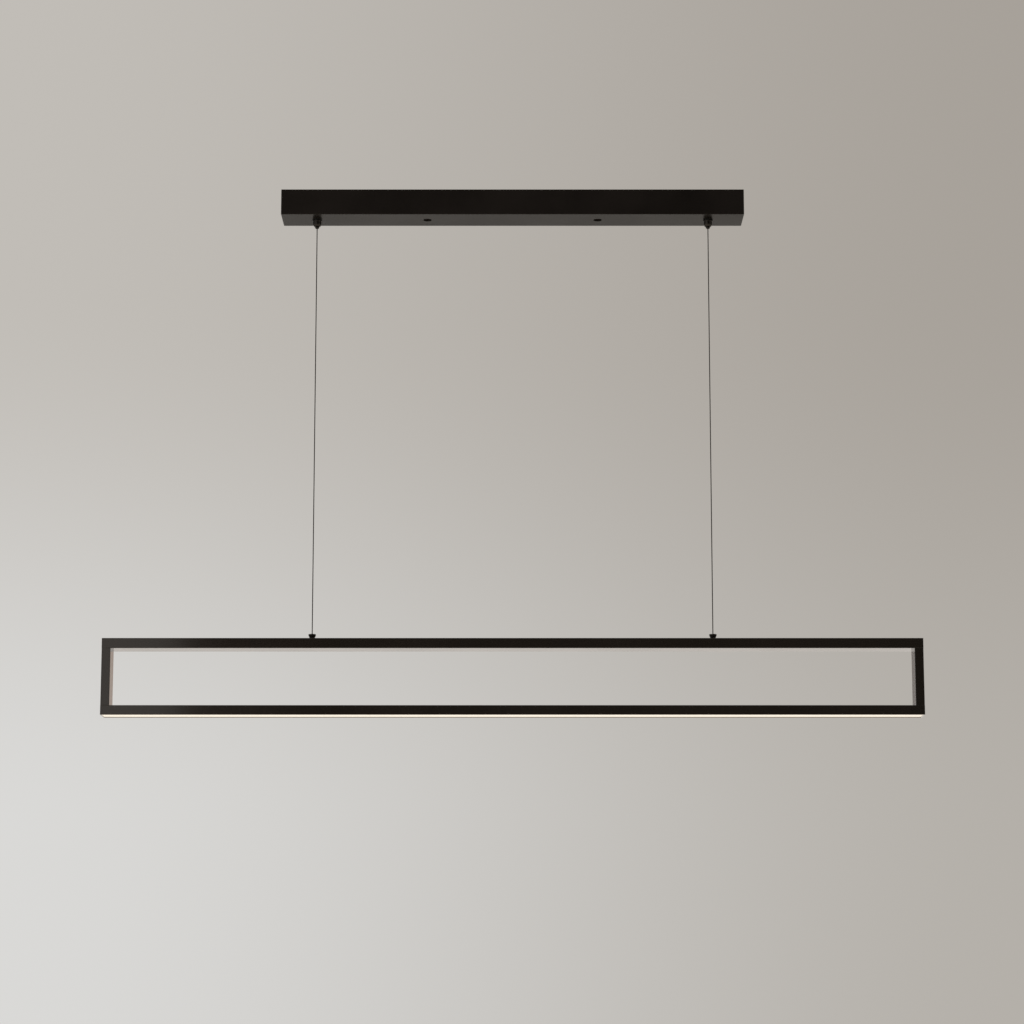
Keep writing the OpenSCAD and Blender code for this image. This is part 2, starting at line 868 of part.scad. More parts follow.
module anchor_collars() {
    color(soft_black)
    at_each_wire() translate([0, 0, frame_top])
        difference() {
            union() {
                rotate_extrude()
                    polygon([
                        [0, 0], [anchor_neck_r, 0], [anchor_neck_r, 1.4], [anchor_r, 6.4],
                        [anchor_r, anchor_h - 0.4], [anchor_r - 0.4, anchor_h], [0, anchor_h]
                    ]);
                rod(anchor_stud_r, -anchor_stud_l, 0);
            }
            rod(end_ball_r + fit_gap, -anchor_stud_l - through, end_ball_z - frame_top);
            translate([0, 0, end_ball_z - frame_top]) {
                sphere(r = end_ball_r + slide_gap);
                cylinder(r = seat_hole_r, h = 2);
                translate([0, 0, 1])
                    cylinder(r1 = seat_hole_r, r2 = mouth_r, h = anchor_h + frame_top - end_ball_z);
            }
        }
}

module anchor_bushes() {
    wall_under = frame_top - rail_wall;
    color("#e9e6dc")
    at_each_wire()
        difference() {
            union() {
                rod(anchor_bush_r, wall_under, frame_top);
                rod(anchor_flange_r, wall_under - anchor_flange_t, wall_under);
            }
            rod(anchor_stud_r + slide_gap, wall_under - anchor_flange_t - through, frame_top + through);
        }
}

module contact_lugs() {
    color(steel)
    at_each_wire() translate([0, 0, contact_z]) rotate([0, 0, 180])
        lug(5.5, anchor_stud_r + slide_gap, anchor_lug_t, contact_tail, contact_barrel_r,
            contact_barrel_l, lamp_lead_r);
}

module anchor_nuts() {
    high = contact_z - anchor_lug_t;
    color(steel)
    at_each_wire()
        difference() {
            hexagon(anchor_nut_flats, high - anchor_nut_h, high);
            rod(anchor_stud_r + slide_gap, high - anchor_nut_h - through, high + through);
        }
}

// Frame

module screw_places() {
    for (x = [-post_x, post_x], y = [-port_y, port_y]) translate([x, y, 0]) children();
}

module lead_hole_places() {
    for (x = [-post_x, post_x]) translate([x, 0, 0]) children();
}

module top_rail() {
    color(satin_black)
    difference() {
        translate([0, 0, (frame_top + top_under) / 2]) along_x(rail_length)
            difference() {
                rounded_outline(frame_depth, top_rail_h, rail_corner);
                square([frame_depth - 2 * rail_wall, top_rail_h - 2 * rail_wall], center = true);
            }
        at_each_wire() rod(anchor_bush_r + slide_gap, frame_top - 2 * rail_wall, frame_top + through);
        screw_places() {
            rod(frame_screw_r + 0.2, top_under - through, top_under + 2 * rail_wall);
            rod(access_r, frame_top - 2 * rail_wall, frame_top + through);
        }
        lead_hole_places() rod(lead_hole_r, top_under - through, top_under + 2 * rail_wall);
    }
}

module bottom_rail() {
    half = frame_depth / 2;
    color(satin_black)
    difference() {
        along_x(rail_length) {
            difference() {
                translate([0, (bottom_top + frame_bottom) / 2])
                    rounded_outline(frame_depth, bottom_rail_h, rail_corner);
                translate([-half + lip_wall, frame_bottom - through])
                    square([frame_depth - 2 * lip_wall, bottom_rail_h - web_t + through]);
            }
            for (s = [-1, 1])
                translate([s * (half - lip_wall - (rib_in - 0.2) / 2), rib_z + rib_h / 2])
                    square([rib_in + 0.2, rib_h], center = true);
        }
        screw_places() rod(frame_screw_r + 0.2, web_under - through, bottom_top + through);
        lead_hole_places() rod(lead_hole_r, web_under - through, bottom_top + through);
        board_screw_places() rod(board_screw_r + slide_gap, web_under - through, bottom_top - 0.4);
    }
}

module post(x) {
    color(satin_black)
    translate([x, 0, bottom_top]) linear_extrude(top_under - bottom_top)
        difference() {
            union() {
                difference() {
                    rounded_outline(post_w, frame_depth, rail_corner);
                    square([post_w - 2 * post_wall, frame_depth - 2 * post_wall], center = true);
                }
                for (s = [-1, 1]) translate([0, s * port_y]) {
                    circle(r = port_r);
                    square([post_w - post_wall, post_wall], center = true);
                }
            }
            for (s = [-1, 1]) translate([0, s * port_y]) circle(r = port_bore_r);
        }
}

module left_post() {
    post(-post_x);
}

module right_post() {
    post(post_x);
}

// An end cap with two spring legs, for a rail whose inside is inner_w wide
module end_cap(height, inner_w, leg_top) {
    rotate([90, 0, 90]) linear_extrude(cap_t) rounded_outline(frame_depth, height, rail_corner);
    for (s = [-1, 1]) {
        outer = s * (inner_w / 2 - slide_gap);
        inner = outer - s * cap_leg_t;
        block([-cap_leg_l, 0], [min(outer, inner), max(outer, inner)],
            [leg_top - cap_leg_h, leg_top]);
    }
}

module both_ends() {
    for (a = [0, 180]) rotate([0, 0, a]) translate([rail_length / 2, 0, 0]) children();
}

module top_rail_caps() {
    color(satin_black)
    both_ends() translate([0, 0, (frame_top + top_under) / 2])
        end_cap(top_rail_h, frame_depth - 2 * rail_wall, top_rail_h / 2 - rail_wall - slide_gap);
}

module bottom_rail_caps() {
    color(satin_black)
    both_ends() translate([0, 0, (bottom_top + frame_bottom) / 2])
        end_cap(bottom_rail_h, frame_depth - 2 * lip_wall, bottom_rail_h / 2 - web_t - slide_gap);
}

module frame_screw() {
    difference() {
        rod(frame_screw_head_r, 0, frame_screw_head_h);
        rod(1.2, frame_screw_head_h - 1.2, frame_screw_head_h + through);
    }
    rod(frame_screw_r, -frame_screw_l, 0);
}

module frame_screws() {
    color(steel)
    screw_places() {
        translate([0, 0, top_under + rail_wall]) frame_screw();
        translate([0, 0, web_under]) mirror([0, 0, 1]) frame_screw();
    }
}

module screw_plugs() {
    color(soft_black)
    screw_places() {
        rod(access_r - 0.03, frame_top - rail_wall, frame_top);
        rod(access_r - 0.6, frame_top - rail_wall - 1.5, frame_top - rail_wall);
    }
}

// Lamp leads, from each anchor through the rail and the post to its LED board

module lamp_lead() {
    tube(smooth(lamp_lead_route, 4), lamp_lead_r, 8, [0, 1, 0]);
}

module lead_left() {
    color("#e8e6e0") mirror([1, 0, 0]) lamp_lead();
}

module lead_right() {
    color("#8c2a22") lamp_lead();
}

// LED boards

module at_each_board() {
    for (a = [0, 180]) rotate([0, 0, a]) translate([board_gap, 0, 0]) children();
}

module board_screw_places() {
    at_each_board()
        for (k = board_screw_gaps)
            translate([led_margin + led_pitch * (k + 0.5), 0, 0]) children();
}

module thermal_tape() {
    color("#c9c6bd")
    difference() {
        at_each_board()
            block([0, board_length], [-board_w / 2, board_w / 2], [web_under - tape_t, web_under]);
        board_screw_places() rod(board_screw_r + 0.15, web_under - through, web_under + through);
    }
}

module led_boards() {
    color("#f2f1ec")
    difference() {
        at_each_board()
            block([0, board_length], [-board_w / 2, board_w / 2],
                [board_under, web_under - tape_t]);
        board_screw_places() rod(board_screw_r + 0.15, board_under - through, web_under + through);
    }
}

module led_chips() {
    color("#f3d26b")
    at_each_board()
        for (k = [0 : led_count - 1])
            translate([led_margin + led_pitch * k, 0, board_under - led_h / 2])
                cube([led_l, led_w, led_h], center = true);
}

module board_link() {
    color(steel)
    for (y = [-board_w / 4, board_w / 4])
        block([-5, 5], [y - 0.8, y + 0.8], [board_under - 0.6, board_under]);
}

module board_screws() {
    color(steel)
    board_screw_places() {
        difference() {
            rod(board_screw_head_r, board_under - board_screw_head_h, board_under);
            block([-1.5, 1.5], [-0.25, 0.25],
                [board_under - board_screw_head_h - through, board_under - board_screw_head_h + 0.7]);
        }
        rod(board_screw_r, board_under, bottom_top - 0.6);
    }
}

// Diffuser

module diffuser() {
    length = rail_length - 2 * fit_gap;
    color("#fff6e2")
    along_x(length) {
        translate([-diffuser_y, diffuser_bottom]) square([2 * diffuser_y, diffuser_t]);
        for (s = [0, 1]) mirror([s, 0]) {
            translate([diffuser_leg_y - diffuser_leg_t, diffuser_bottom])
                square([diffuser_leg_t, hook_z + hook_h - diffuser_bottom]);
            translate([diffuser_leg_y - diffuser_leg_t, hook_z])
                square([diffuser_leg_t + rib_in - fit_gap, hook_h]);
        }
    }
}

canopy_shell();
ceiling_bracket();
bracket_standoffs();
canopy_screws();
cable_grommet();
terminal_block();
terminal_sleeves();
terminal_screws();
earth_stud();
earth_nut();
earth_lug();
earth_lead();
mains_lead_live();
mains_lead_neutral();
driver_tray();
driver_cover();
driver_board();
driver_components();
driver_screws();
driver_rivets();
output_lead_left();
output_lead_right();
output_lugs();
insulating_washers();
gripper_bushes();
gripper_nuts();
gripper_body_left();
gripper_body_right();
gripper_caps();
gripper_spring_left();
gripper_spring_right();
gripper_plunger_left();
gripper_plunger_right();
gripper_balls_left();
gripper_balls_right();
wire_tail_left();
wire_tail_right();
suspension_wire_left();
suspension_wire_right();
wire_ends();
anchor_collars();
anchor_bushes();
anchor_nuts();
contact_lugs();
top_rail();
bottom_rail();
left_post();
right_post();
top_rail_caps();
bottom_rail_caps();
frame_screws();
screw_plugs();
lead_left();
lead_right();
thermal_tape();
led_boards();
led_chips();
board_link();
board_screws();
diffuser();
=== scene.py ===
# %% [markdown]
# # A linear pendant lamp
# A long, low canopy sits on the ceiling and carries a slim rectangular frame on two thin wires.
# The frame's bottom rail holds a line of LEDs behind an opal strip. The metal parts come ready
# from the CAD model as a fixed frame of reference. This lesson gives them their finishes and
# remakes the pieces that a CAD program draws too plainly: the wire ropes, the folded steel tray,
# the turned fittings, the springs and the soft leads.

# %% Load the frame
from math import cos, pi, radians, sin, sqrt, tau

import bmesh
import bpy
from mathutils import Matrix, Vector


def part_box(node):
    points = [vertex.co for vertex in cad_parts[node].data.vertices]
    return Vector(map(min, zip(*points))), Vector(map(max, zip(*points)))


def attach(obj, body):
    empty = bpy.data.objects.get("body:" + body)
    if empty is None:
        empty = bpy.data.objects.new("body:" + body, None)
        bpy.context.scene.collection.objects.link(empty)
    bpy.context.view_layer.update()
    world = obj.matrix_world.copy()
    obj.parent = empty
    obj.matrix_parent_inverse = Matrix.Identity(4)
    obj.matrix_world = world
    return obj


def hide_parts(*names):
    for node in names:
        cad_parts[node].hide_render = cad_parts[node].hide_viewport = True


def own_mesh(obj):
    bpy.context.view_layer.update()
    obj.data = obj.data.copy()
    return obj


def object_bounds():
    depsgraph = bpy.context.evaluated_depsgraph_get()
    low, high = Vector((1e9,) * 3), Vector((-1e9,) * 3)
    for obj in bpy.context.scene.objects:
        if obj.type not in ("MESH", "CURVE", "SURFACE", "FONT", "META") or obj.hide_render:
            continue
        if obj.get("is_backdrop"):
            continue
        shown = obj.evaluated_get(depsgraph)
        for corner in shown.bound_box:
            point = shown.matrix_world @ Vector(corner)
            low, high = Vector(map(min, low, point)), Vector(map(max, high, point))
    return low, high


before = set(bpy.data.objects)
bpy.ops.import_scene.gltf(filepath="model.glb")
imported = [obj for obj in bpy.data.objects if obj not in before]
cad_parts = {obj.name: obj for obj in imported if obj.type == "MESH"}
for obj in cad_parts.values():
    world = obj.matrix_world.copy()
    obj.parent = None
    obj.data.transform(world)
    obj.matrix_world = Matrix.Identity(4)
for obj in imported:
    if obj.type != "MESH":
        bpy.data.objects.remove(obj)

cad_low, cad_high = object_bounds()
mm = 0.001
print("lamp measures", [round(size / mm, 1) for size in cad_high - cad_low], "mm")

# %% [markdown]
# ## Camera
# The lamp hangs above eye level and is seen from far away with a long lens, so its verticals
# stay upright. A long lens at a distance keeps the two ends of the frame the same height. The
# lens is shifted a little instead of tilting the camera further, as an architect's lens would be.

# %% Camera
camera_data = bpy.data.cameras.new("camera")
camera_data.lens = 98.44
camera_data.sensor_width = 36
camera_data.shift_y = 0.0977
camera = bpy.data.objects.new("camera", camera_data)
camera.location = (-0.0008, -4.055, -1.334)
camera.rotation_euler = (radians(99.75), 0, 0)
bpy.context.scene.collection.objects.link(camera)
bpy.context.scene.camera = camera
bpy.context.scene.view_settings.view_transform = "Standard"
print("camera", round(camera.location.length, 2), "m from the ceiling plate")

# %% [markdown]
# ## Helpers for pieces
# Every new piece starts as a bmesh and ends as an object at the origin that rides on one of the
# lamp's bodies. One helper does that last step for all of them, and takes the piece's finish from
# the material slot that its CAD node already uses. The studio's floor and cards are made by a
# bmesh too, but they belong to the stage and not to the lamp.
#
# Shading needs care: a wide flat face must stay flat, while rounded edges and turned walls look
# smooth. So faces that look straight along an axis are shaded flat on folded pieces, and turned
# pieces are smooth with a crease wherever two walls meet at a real corner.

# %% Helpers for pieces
def place_object(name, data, finish):
    data.materials.append(bpy.data.materials[finish])
    placed = bpy.data.objects.new(name, data)
    bpy.context.scene.collection.objects.link(placed)
    return placed


def mesh_object(name, bm, finish):
    mesh = bpy.data.meshes.new(name)
    bm.to_mesh(mesh)
    bm.free()
    return place_object(name, mesh, finish)


def join_lamp(piece, body, nodes):
    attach(piece, body)
    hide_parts(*nodes)


def add_piece(name, bm, body, finish, nodes):
    piece = mesh_object(name, bm, finish)
    join_lamp(piece, body, nodes)
    print(name, len(piece.data.polygons), "faces, rides on", body)
    return piece


def add_stage(name, bm, finish):
    bpy.data.materials.new(finish)
    piece = mesh_object(name, bm, finish)
    piece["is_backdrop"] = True
    return piece


def close_ends(bm):
    bmesh.ops.holes_fill(bm, edges=[edge for edge in bm.edges if edge.is_boundary], sides=0)
    bmesh.ops.recalc_face_normals(bm, faces=bm.faces)


def shade_round(bm, crease=35):
    for face in bm.faces:
        face.smooth = True
    for edge in bm.edges:
        edge.smooth = edge.calc_face_angle(0) < radians(crease)


def shade_folded(bm):
    for face in bm.faces:
        face.smooth = max(abs(part) for part in face.normal) < 0.9999


# %% [markdown]
# ## The suspension wires
# Each wire is a steel rope 1.5 mm thick: six strands laid around a core. A plain cylinder would
# look like a rod, because the rope's outline is six small lobes that wind slowly upward. So one
# cross-section is drawn as a circle with its points pulled in between the strands, and a spin
# with a lift turns it into the whole rope at once.
#
# The rope ends in the ball fitting at the frame and disappears into the gripper at the top. It
# rides on the swinging wires.

# %% The suspension wires
strand_count = 6
rope_lay = 11 * mm
steps_per_lay = 10


def rope_outline(bm, x, z, radius):
    strand_r = radius / 3
    strand_at = radius - strand_r
    circle = bmesh.ops.create_circle(bm, segments=4 * strand_count, radius=radius)
    for vert in circle["verts"]:
        around = Vector((vert.co.x, vert.co.y)).angle_signed(Vector((1, 0)))
        off = (around + pi / strand_count) % (tau / strand_count) - pi / strand_count
        dip = max(0, strand_r**2 - (strand_at * sin(off)) ** 2)
        vert.co *= (strand_at * cos(off) + sqrt(dip)) / radius
    bmesh.ops.translate(bm, vec=(x, 0, z), verts=bm.verts)


def rope(x, low, high, radius):
    bm = bmesh.new()
    rope_outline(bm, x, low, radius)
    turns = (high - low) / rope_lay
    steps = round(turns * steps_per_lay)
    bmesh.ops.spin(
        bm, geom=bm.edges[:], cent=(x, 0, 0), axis=(0, 0, 1),
        dvec=(0, 0, (high - low) / steps), angle=turns * tau, steps=steps,
    )
    close_ends(bm)
    shade_round(bm, 60)
    return bm


for side in ("left", "right"):
    low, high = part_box(f"suspension_wire_{side}")
    x = (low.x + high.x) / 2
    radius = (high.x - low.x) / 2
    wire = add_piece(
        f"rope_{side}", rope(x, low.z, high.z, radius), "wires", "wire_steel",
        [f"suspension_wire_{side}"],
    )
    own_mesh(wire)

# %% [markdown]
# ## The ropes' spare ends
# Above each gripper the rope goes on into the canopy, bends over and lies along it, so that the
# lamp can be let down later. The same rope is made straight, and its points are then carried
# round a quarter circle: height along the rope becomes angle round the bend.

# %% The ropes' spare ends
bend_radius = 8 * mm


def bend_over(bm, x, bend_z, toward):
    quarter = bend_radius * pi / 2
    for vert in bm.verts:
        past = vert.co.z - bend_z
        if past <= 0:
            continue
        turn = min(past, quarter) / bend_radius
        outward = (vert.co.x - x) * toward
        reach = bend_radius - outward
        vert.co.x = x + toward * (bend_radius - reach * cos(turn) + max(0, past - quarter))
        vert.co.z = bend_z + reach * sin(turn)


for side, toward in (("left", 1), ("right", -1)):
    low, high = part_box(f"wire_tail_{side}")
    wire_low, wire_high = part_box(f"suspension_wire_{side}")
    x = (wire_low.x + wire_high.x) / 2
    radius = (wire_high.x - wire_low.x) / 2
    bend_z = high.z - radius - bend_radius
    run = (high.x - low.x) - radius - bend_radius
    straight = bend_z - low.z + bend_radius * pi / 2 + run
    bm = rope(x, low.z, low.z + straight, radius)
    bend_over(bm, x, bend_z, toward)
    add_piece(f"rope_end_{side}", bm, "canopy", "wire_steel", [f"wire_tail_{side}"])

# %% [markdown]
# ## The leads
# Thin insulated leads join the terminals, the driver, the two wires and the LED boards. They are
# soft, so each is a curve with round bevel that runs smoothly through the points of its route.
# The routes are those of the CAD model, in metres: out of a terminal straight, then in easy bends
# along the inside of the canopy or down through the hollow frame.

# %% The leads
thick_lead, thin_lead = 1.1 * mm, 0.9 * mm


def lead(name, body, finish, radius, route):
    line = bpy.data.curves.new(name, "CURVE")
    line.dimensions = "3D"
    line.bevel_depth = radius
    line.bevel_resolution = 3
    line.resolution_u = 6
    line.use_fill_caps = True
    spline = line.splines.new("BEZIER")
    spline.bezier_points.add(len(route) - 1)
    for point, place in zip(spline.bezier_points, route):
        point.co = place
        point.handle_left_type = point.handle_right_type = "AUTO"
    join_lamp(place_object(name + "_soft", line, finish), body, [name])
    print(name, len(route), "points")


lead("mains_lead_live", "canopy", "live_insulation", thick_lead, [
    (-0.051, 0.0055, -0.009), (-0.045, 0.0055, -0.009), (-0.034, 0.007, -0.010),
    (-0.025, 0.0055, -0.009), (-0.0215, 0.0055, -0.009), (-0.011, 0.0055, -0.009),
])
lead("mains_lead_neutral", "canopy", "neutral_insulation", thick_lead, [
    (-0.051, 0, -0.009), (-0.045, 0, -0.009), (-0.034, 0.0015, -0.0105),
    (-0.025, 0, -0.009), (-0.0215, 0, -0.009), (-0.011, 0, -0.009),
])
lead("earth_lead", "canopy", "earth_insulation", thick_lead, [
    (-0.051, -0.0055, -0.009), (-0.046, -0.0055, -0.009), (-0.042, -0.0066, -0.0072),
    (-0.0395, -0.0075, -0.0048), (-0.0367, -0.0084, -0.0039), (-0.0347, -0.0089, -0.0039),
    (-0.0318, -0.0097, -0.0039),
])
lead("output_lead_right", "canopy", "red_insulation", thick_lead, [
    (0.106, -0.004, -0.009), (0.111, -0.004, -0.009), (0.116, -0.004, -0.009),
    (0.121, -0.008, -0.013), (0.128, -0.012, -0.020), (0.140, -0.014, -0.030),
    (0.152, -0.014, -0.035), (0.166, -0.014, -0.036), (0.240, -0.014, -0.036),
    (0.252, -0.012, -0.036), (0.262, -0.005, -0.035), (0.270, 0, -0.0339),
    (0.276, 0, -0.0339), (0.283, 0, -0.0339),
])
lead("output_lead_left", "canopy", "dark_insulation", thick_lead, [
    (0.106, 0.004, -0.009), (0.111, 0.004, -0.009), (0.116, 0.004, -0.009),
    (0.1205, 0.008, -0.011), (0.1205, 0.015, -0.016), (0.114, 0.019, -0.024),
    (0.102, 0.020, -0.032), (0.088, 0.020, -0.0355), (0.074, 0.020, -0.036),
    (-0.230, 0.020, -0.036), (-0.246, 0.018, -0.036), (-0.260, 0.006, -0.035),
    (-0.270, 0, -0.0339), (-0.276, 0, -0.0339), (-0.283, 0, -0.0339),
])

lamp_route = [
    (0.303, 0, -0.6827), (0.309, 0, -0.6827), (0.312, 0, -0.6827), (0.322, 0, -0.6845),
    (0.333, 0, -0.689), (0.346, 0, -0.6905), (0.570, 0, -0.6905), (0.582, 0, -0.6905),
    (0.5885, 0, -0.6904), (0.5926, 0, -0.6918), (0.5935, 0, -0.696), (0.5935, 0, -0.708),
    (0.5935, 0, -0.770), (0.5935, 0, -0.777), (0.5926, 0, -0.7808), (0.589, 0, -0.7834),
    (0.584, 0, -0.7826), (0.578, 0, -0.7822), (0.573, 0, -0.7822),
]
lead("lead_right", "lamp", "red_insulation", thin_lead, lamp_route)
lead("lead_left", "lamp", "white_insulation", thin_lead, [(-x, y, z) for x, y, z in lamp_route])

# %% [markdown]
# ## The canopy tray
# The canopy is folded from one sheet of steel, so its edges are small bends and not knife edges,
# and the same sheet is pressed up into two cups for the fixing screws. A solid box with its
# inside cut away would lose that. Here the underside is a flat blank with rounded corners, its
# walls are folded up from the rim, the bend is a bevel, and the cups and wire holes are circles
# in the blank. A Solidify modifier gives the whole tray the thickness of the sheet at the end.

# %% The canopy tray
sheet = 1.2 * mm
corner_radius = 1.4 * mm
fold_radius = 0.9 * mm
cup_radius, cup_depth, cup_hole = 6.2 * mm, 6.5 * mm, 2.25 * mm
cup_edge = 0.35 * mm
grip_hole = 6.1 * mm
same = 0.001 * mm


def at_height(edge, z):
    return all(abs(vert.co.z - z) < same for vert in edge.verts)


def ring_edges(bm, x, z):
    return [
        edge for edge in bm.edges
        if edge.is_boundary and at_height(edge, z)
        and all(abs(vert.co.x - x) < 2 * cup_radius for vert in edge.verts)
    ]


def pull(bm, edges, lift=0, scale=1, centre=0):
    made = bmesh.ops.extrude_edge_only(bm, edges=edges)["geom"]
    verts = [part for part in made if isinstance(part, bmesh.types.BMVert)]
    bmesh.ops.translate(bm, vec=(0, 0, lift), verts=verts)
    bmesh.ops.scale(
        bm, vec=(scale, scale, 1), verts=verts, space=Matrix.Translation((-centre, 0, 0))
    )
    return [part for part in made if isinstance(part, bmesh.types.BMEdge)]


low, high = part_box("canopy_shell")
screw_low, screw_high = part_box("canopy_screws")
screw_x = screw_high.x - (screw_high.y - screw_low.y) / 2
grip_x = sum(corner.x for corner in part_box("gripper_body_right")) / 2

bm = bmesh.new()
bmesh.ops.create_grid(bm, x_segments=1, y_segments=1, size=0.5)
bmesh.ops.scale(bm, vec=(high.x - low.x, high.y - low.y, 1), verts=bm.verts)
bmesh.ops.translate(bm, vec=(0, 0, low.z), verts=bm.verts)
bmesh.ops.bevel(
    bm, geom=bm.verts[:], offset=corner_radius, segments=6, profile=0.5,
    affect="VERTICES", material=-1,
)
pull(bm, [edge for edge in bm.edges if edge.is_boundary], lift=high.z - low.z)
folds = [edge for edge in bm.edges if at_height(edge, low.z)]
bmesh.ops.bevel(
    bm, geom=folds, offset=fold_radius, segments=5, profile=0.5, affect="EDGES", material=-1
)
blank = min(bm.faces, key=lambda face: face.calc_center_median().z)
bmesh.ops.delete(bm, geom=[blank], context="FACES_ONLY")
for x, radius in (
    (-screw_x, cup_radius), (screw_x, cup_radius), (-grip_x, grip_hole), (grip_x, grip_hole)
):
    bmesh.ops.create_circle(
        bm, segments=64, radius=radius, matrix=Matrix.Translation((x, 0, low.z))
    )
flat = [edge for edge in bm.edges if at_height(edge, low.z) and len(edge.link_faces) < 2]
bmesh.ops.triangle_fill(bm, edges=flat, use_beauty=True, normal=(0, 0, -1))
for x in (-screw_x, screw_x):
    mouth = ring_edges(bm, x, low.z)
    roof = pull(bm, mouth, lift=cup_depth)
    pull(bm, roof, scale=cup_hole / cup_radius, centre=x)
    bmesh.ops.bevel(
        bm, geom=mouth, offset=cup_edge, segments=3, profile=0.5, affect="EDGES", material=-1
    )
bmesh.ops.recalc_face_normals(bm, faces=bm.faces)
if sum(face.normal.z * face.calc_area() for face in bm.faces) > 0:
    bmesh.ops.reverse_faces(bm, faces=bm.faces)
shade_folded(bm)
tray = add_piece("canopy_tray", bm, "canopy", "canopy_black", ["canopy_shell"])
solidify = tray.modifiers.new("sheet", "SOLIDIFY")
solidify.thickness = sheet
solidify.offset = -1
solidify.use_even_offset = True

# %% [markdown]
# ## Turned fittings
# The grippers and the anchors are turned from brass bar on a lathe. A lathe part is a profile
# spun round its axis, so a few corner points are enough for each. A real cutter leaves no sharp
# corner, and it is the tiny rounded edges that catch the light on black metal. They are beveled
# after the spin, on every edge that is a true corner.
#
# The gripper's stud has an M10 thread, cut here as close rings where the nut leaves it bare.

# %% Turned fittings
def turned(bm, x, profile, segments=64):
    ring = [bm.verts.new((x + radius, 0, z)) for radius, z in profile]
    edges = [bm.edges.new(pair) for pair in zip(ring, ring[1:] + ring[:1])]
    bmesh.ops.spin(
        bm, geom=ring + edges, cent=(x, 0, 0), axis=(0, 0, 1), angle=tau, steps=segments,
        use_merge=True,
    )
    bmesh.ops.remove_doubles(bm, verts=bm.verts, dist=1e-6)
    bmesh.ops.recalc_face_normals(bm, faces=bm.faces)


def break_corners(bm, offset, low, high):
    corners = [
        edge for edge in bm.edges
        if edge.calc_face_angle(0) > radians(15)
        and all(low <= vert.co.z <= high for vert in edge.verts)
        and at_height(edge, edge.verts[0].co.z)
    ]
    bmesh.ops.bevel(
        bm, geom=corners, offset=offset, segments=3, profile=0.5, affect="EDGES", material=-1
    )


thread_pitch, thread_depth, thread_turns = 1 * mm, 0.55 * mm, 6
stud_r, stud_chamfer, bore_r, cone_top, guide_h = 5 * mm, 0.7 * mm, 3.95 * mm, 9 * mm, 3 * mm
barrel_r, barrel_h, flange_h = 6.3 * mm, 5.5 * mm, 1.5 * mm
tip_r, nose_r, taper_h = 4.4 * mm, 3.05 * mm, 2.5 * mm
turned_round, reach = 0.3 * mm, 0.1 * mm


def gripper(side):
    low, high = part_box(f"gripper_body_{side}")
    x = (low.x + high.x) / 2
    flange_r = (high.x - low.x) / 2
    taper_z = low.z + taper_h
    flange_z = taper_z + barrel_h
    seat_z = flange_z + flange_h
    thread_z = high.z - (thread_turns + 1) * thread_pitch
    profile = [
        (nose_r, low.z), (tip_r, low.z), (barrel_r, taper_z), (barrel_r, flange_z),
        (flange_r, flange_z), (flange_r, seat_z), (stud_r, seat_z), (stud_r, thread_z),
    ]
    for turn in range(thread_turns):
        crest = thread_z + (turn + 0.5) * thread_pitch
        profile += [(stud_r - thread_depth, crest), (stud_r, crest + thread_pitch / 2)]
    profile += [
        (stud_r - stud_chamfer, high.z), (bore_r, high.z), (bore_r, low.z + cone_top),
        (nose_r, low.z + guide_h),
    ]
    bm = bmesh.new()
    turned(bm, x, profile)
    break_corners(bm, turned_round, low.z - reach, seat_z + reach)
    shade_round(bm)
    add_piece(f"gripper_{side}", bm, "canopy", "gripper_black", [f"gripper_body_{side}"])


gripper("left")
gripper("right")

# %% [markdown]
# ## Wire anchors
# On the frame each wire ends in a flared collar. The flare is a plain cone on a short neck, with
# a funnel in its top for the rope and a ball seat below it. Its rounded rim carries the bright
# line that shows the shape, so the rim gets a wider round than the other corners.

# %% Wire anchors
low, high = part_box("anchor_collars")
frame_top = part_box("top_rail")[1].z
collar_r, neck_r, stem_r, seat_r, funnel_r, throat_r = (
    radius * mm for radius in (5.6, 3.4, 3, 2.1, 3.07, 1.8)
)
neck_h, rim_h, throat_h = 1.4 * mm, 6.4 * mm, 4.2 * mm
ball_cup = [(2.05 * mm, 3.6 * mm), (seat_r, 3.2 * mm)]
collar_round = 0.4 * mm
bm = bmesh.new()
for x in (-grip_x, grip_x):
    turned(bm, x, [
        (seat_r, low.z), (stem_r, low.z), (stem_r, frame_top), (neck_r, frame_top),
        (neck_r, frame_top + neck_h), (collar_r, frame_top + rim_h), (collar_r, high.z),
        (funnel_r, high.z), (throat_r, frame_top + throat_h),
        *((radius, frame_top + height) for radius, height in ball_cup),
    ])
break_corners(bm, collar_round, frame_top + reach, high.z + reach)
shade_round(bm)
add_piece("wire_anchors", bm, "lamp", "gripper_black", ["anchor_collars"])

# %% [markdown]
# ## Gripper springs
# Inside each gripper a small spring pushes the plunger down so that it pinches the rope. It is
# round wire wound in a helix: a small circle, stood upright beside the axis and spun with a lift.

# %% Gripper springs
spring_wire = 0.25 * mm
spring_turns = 6

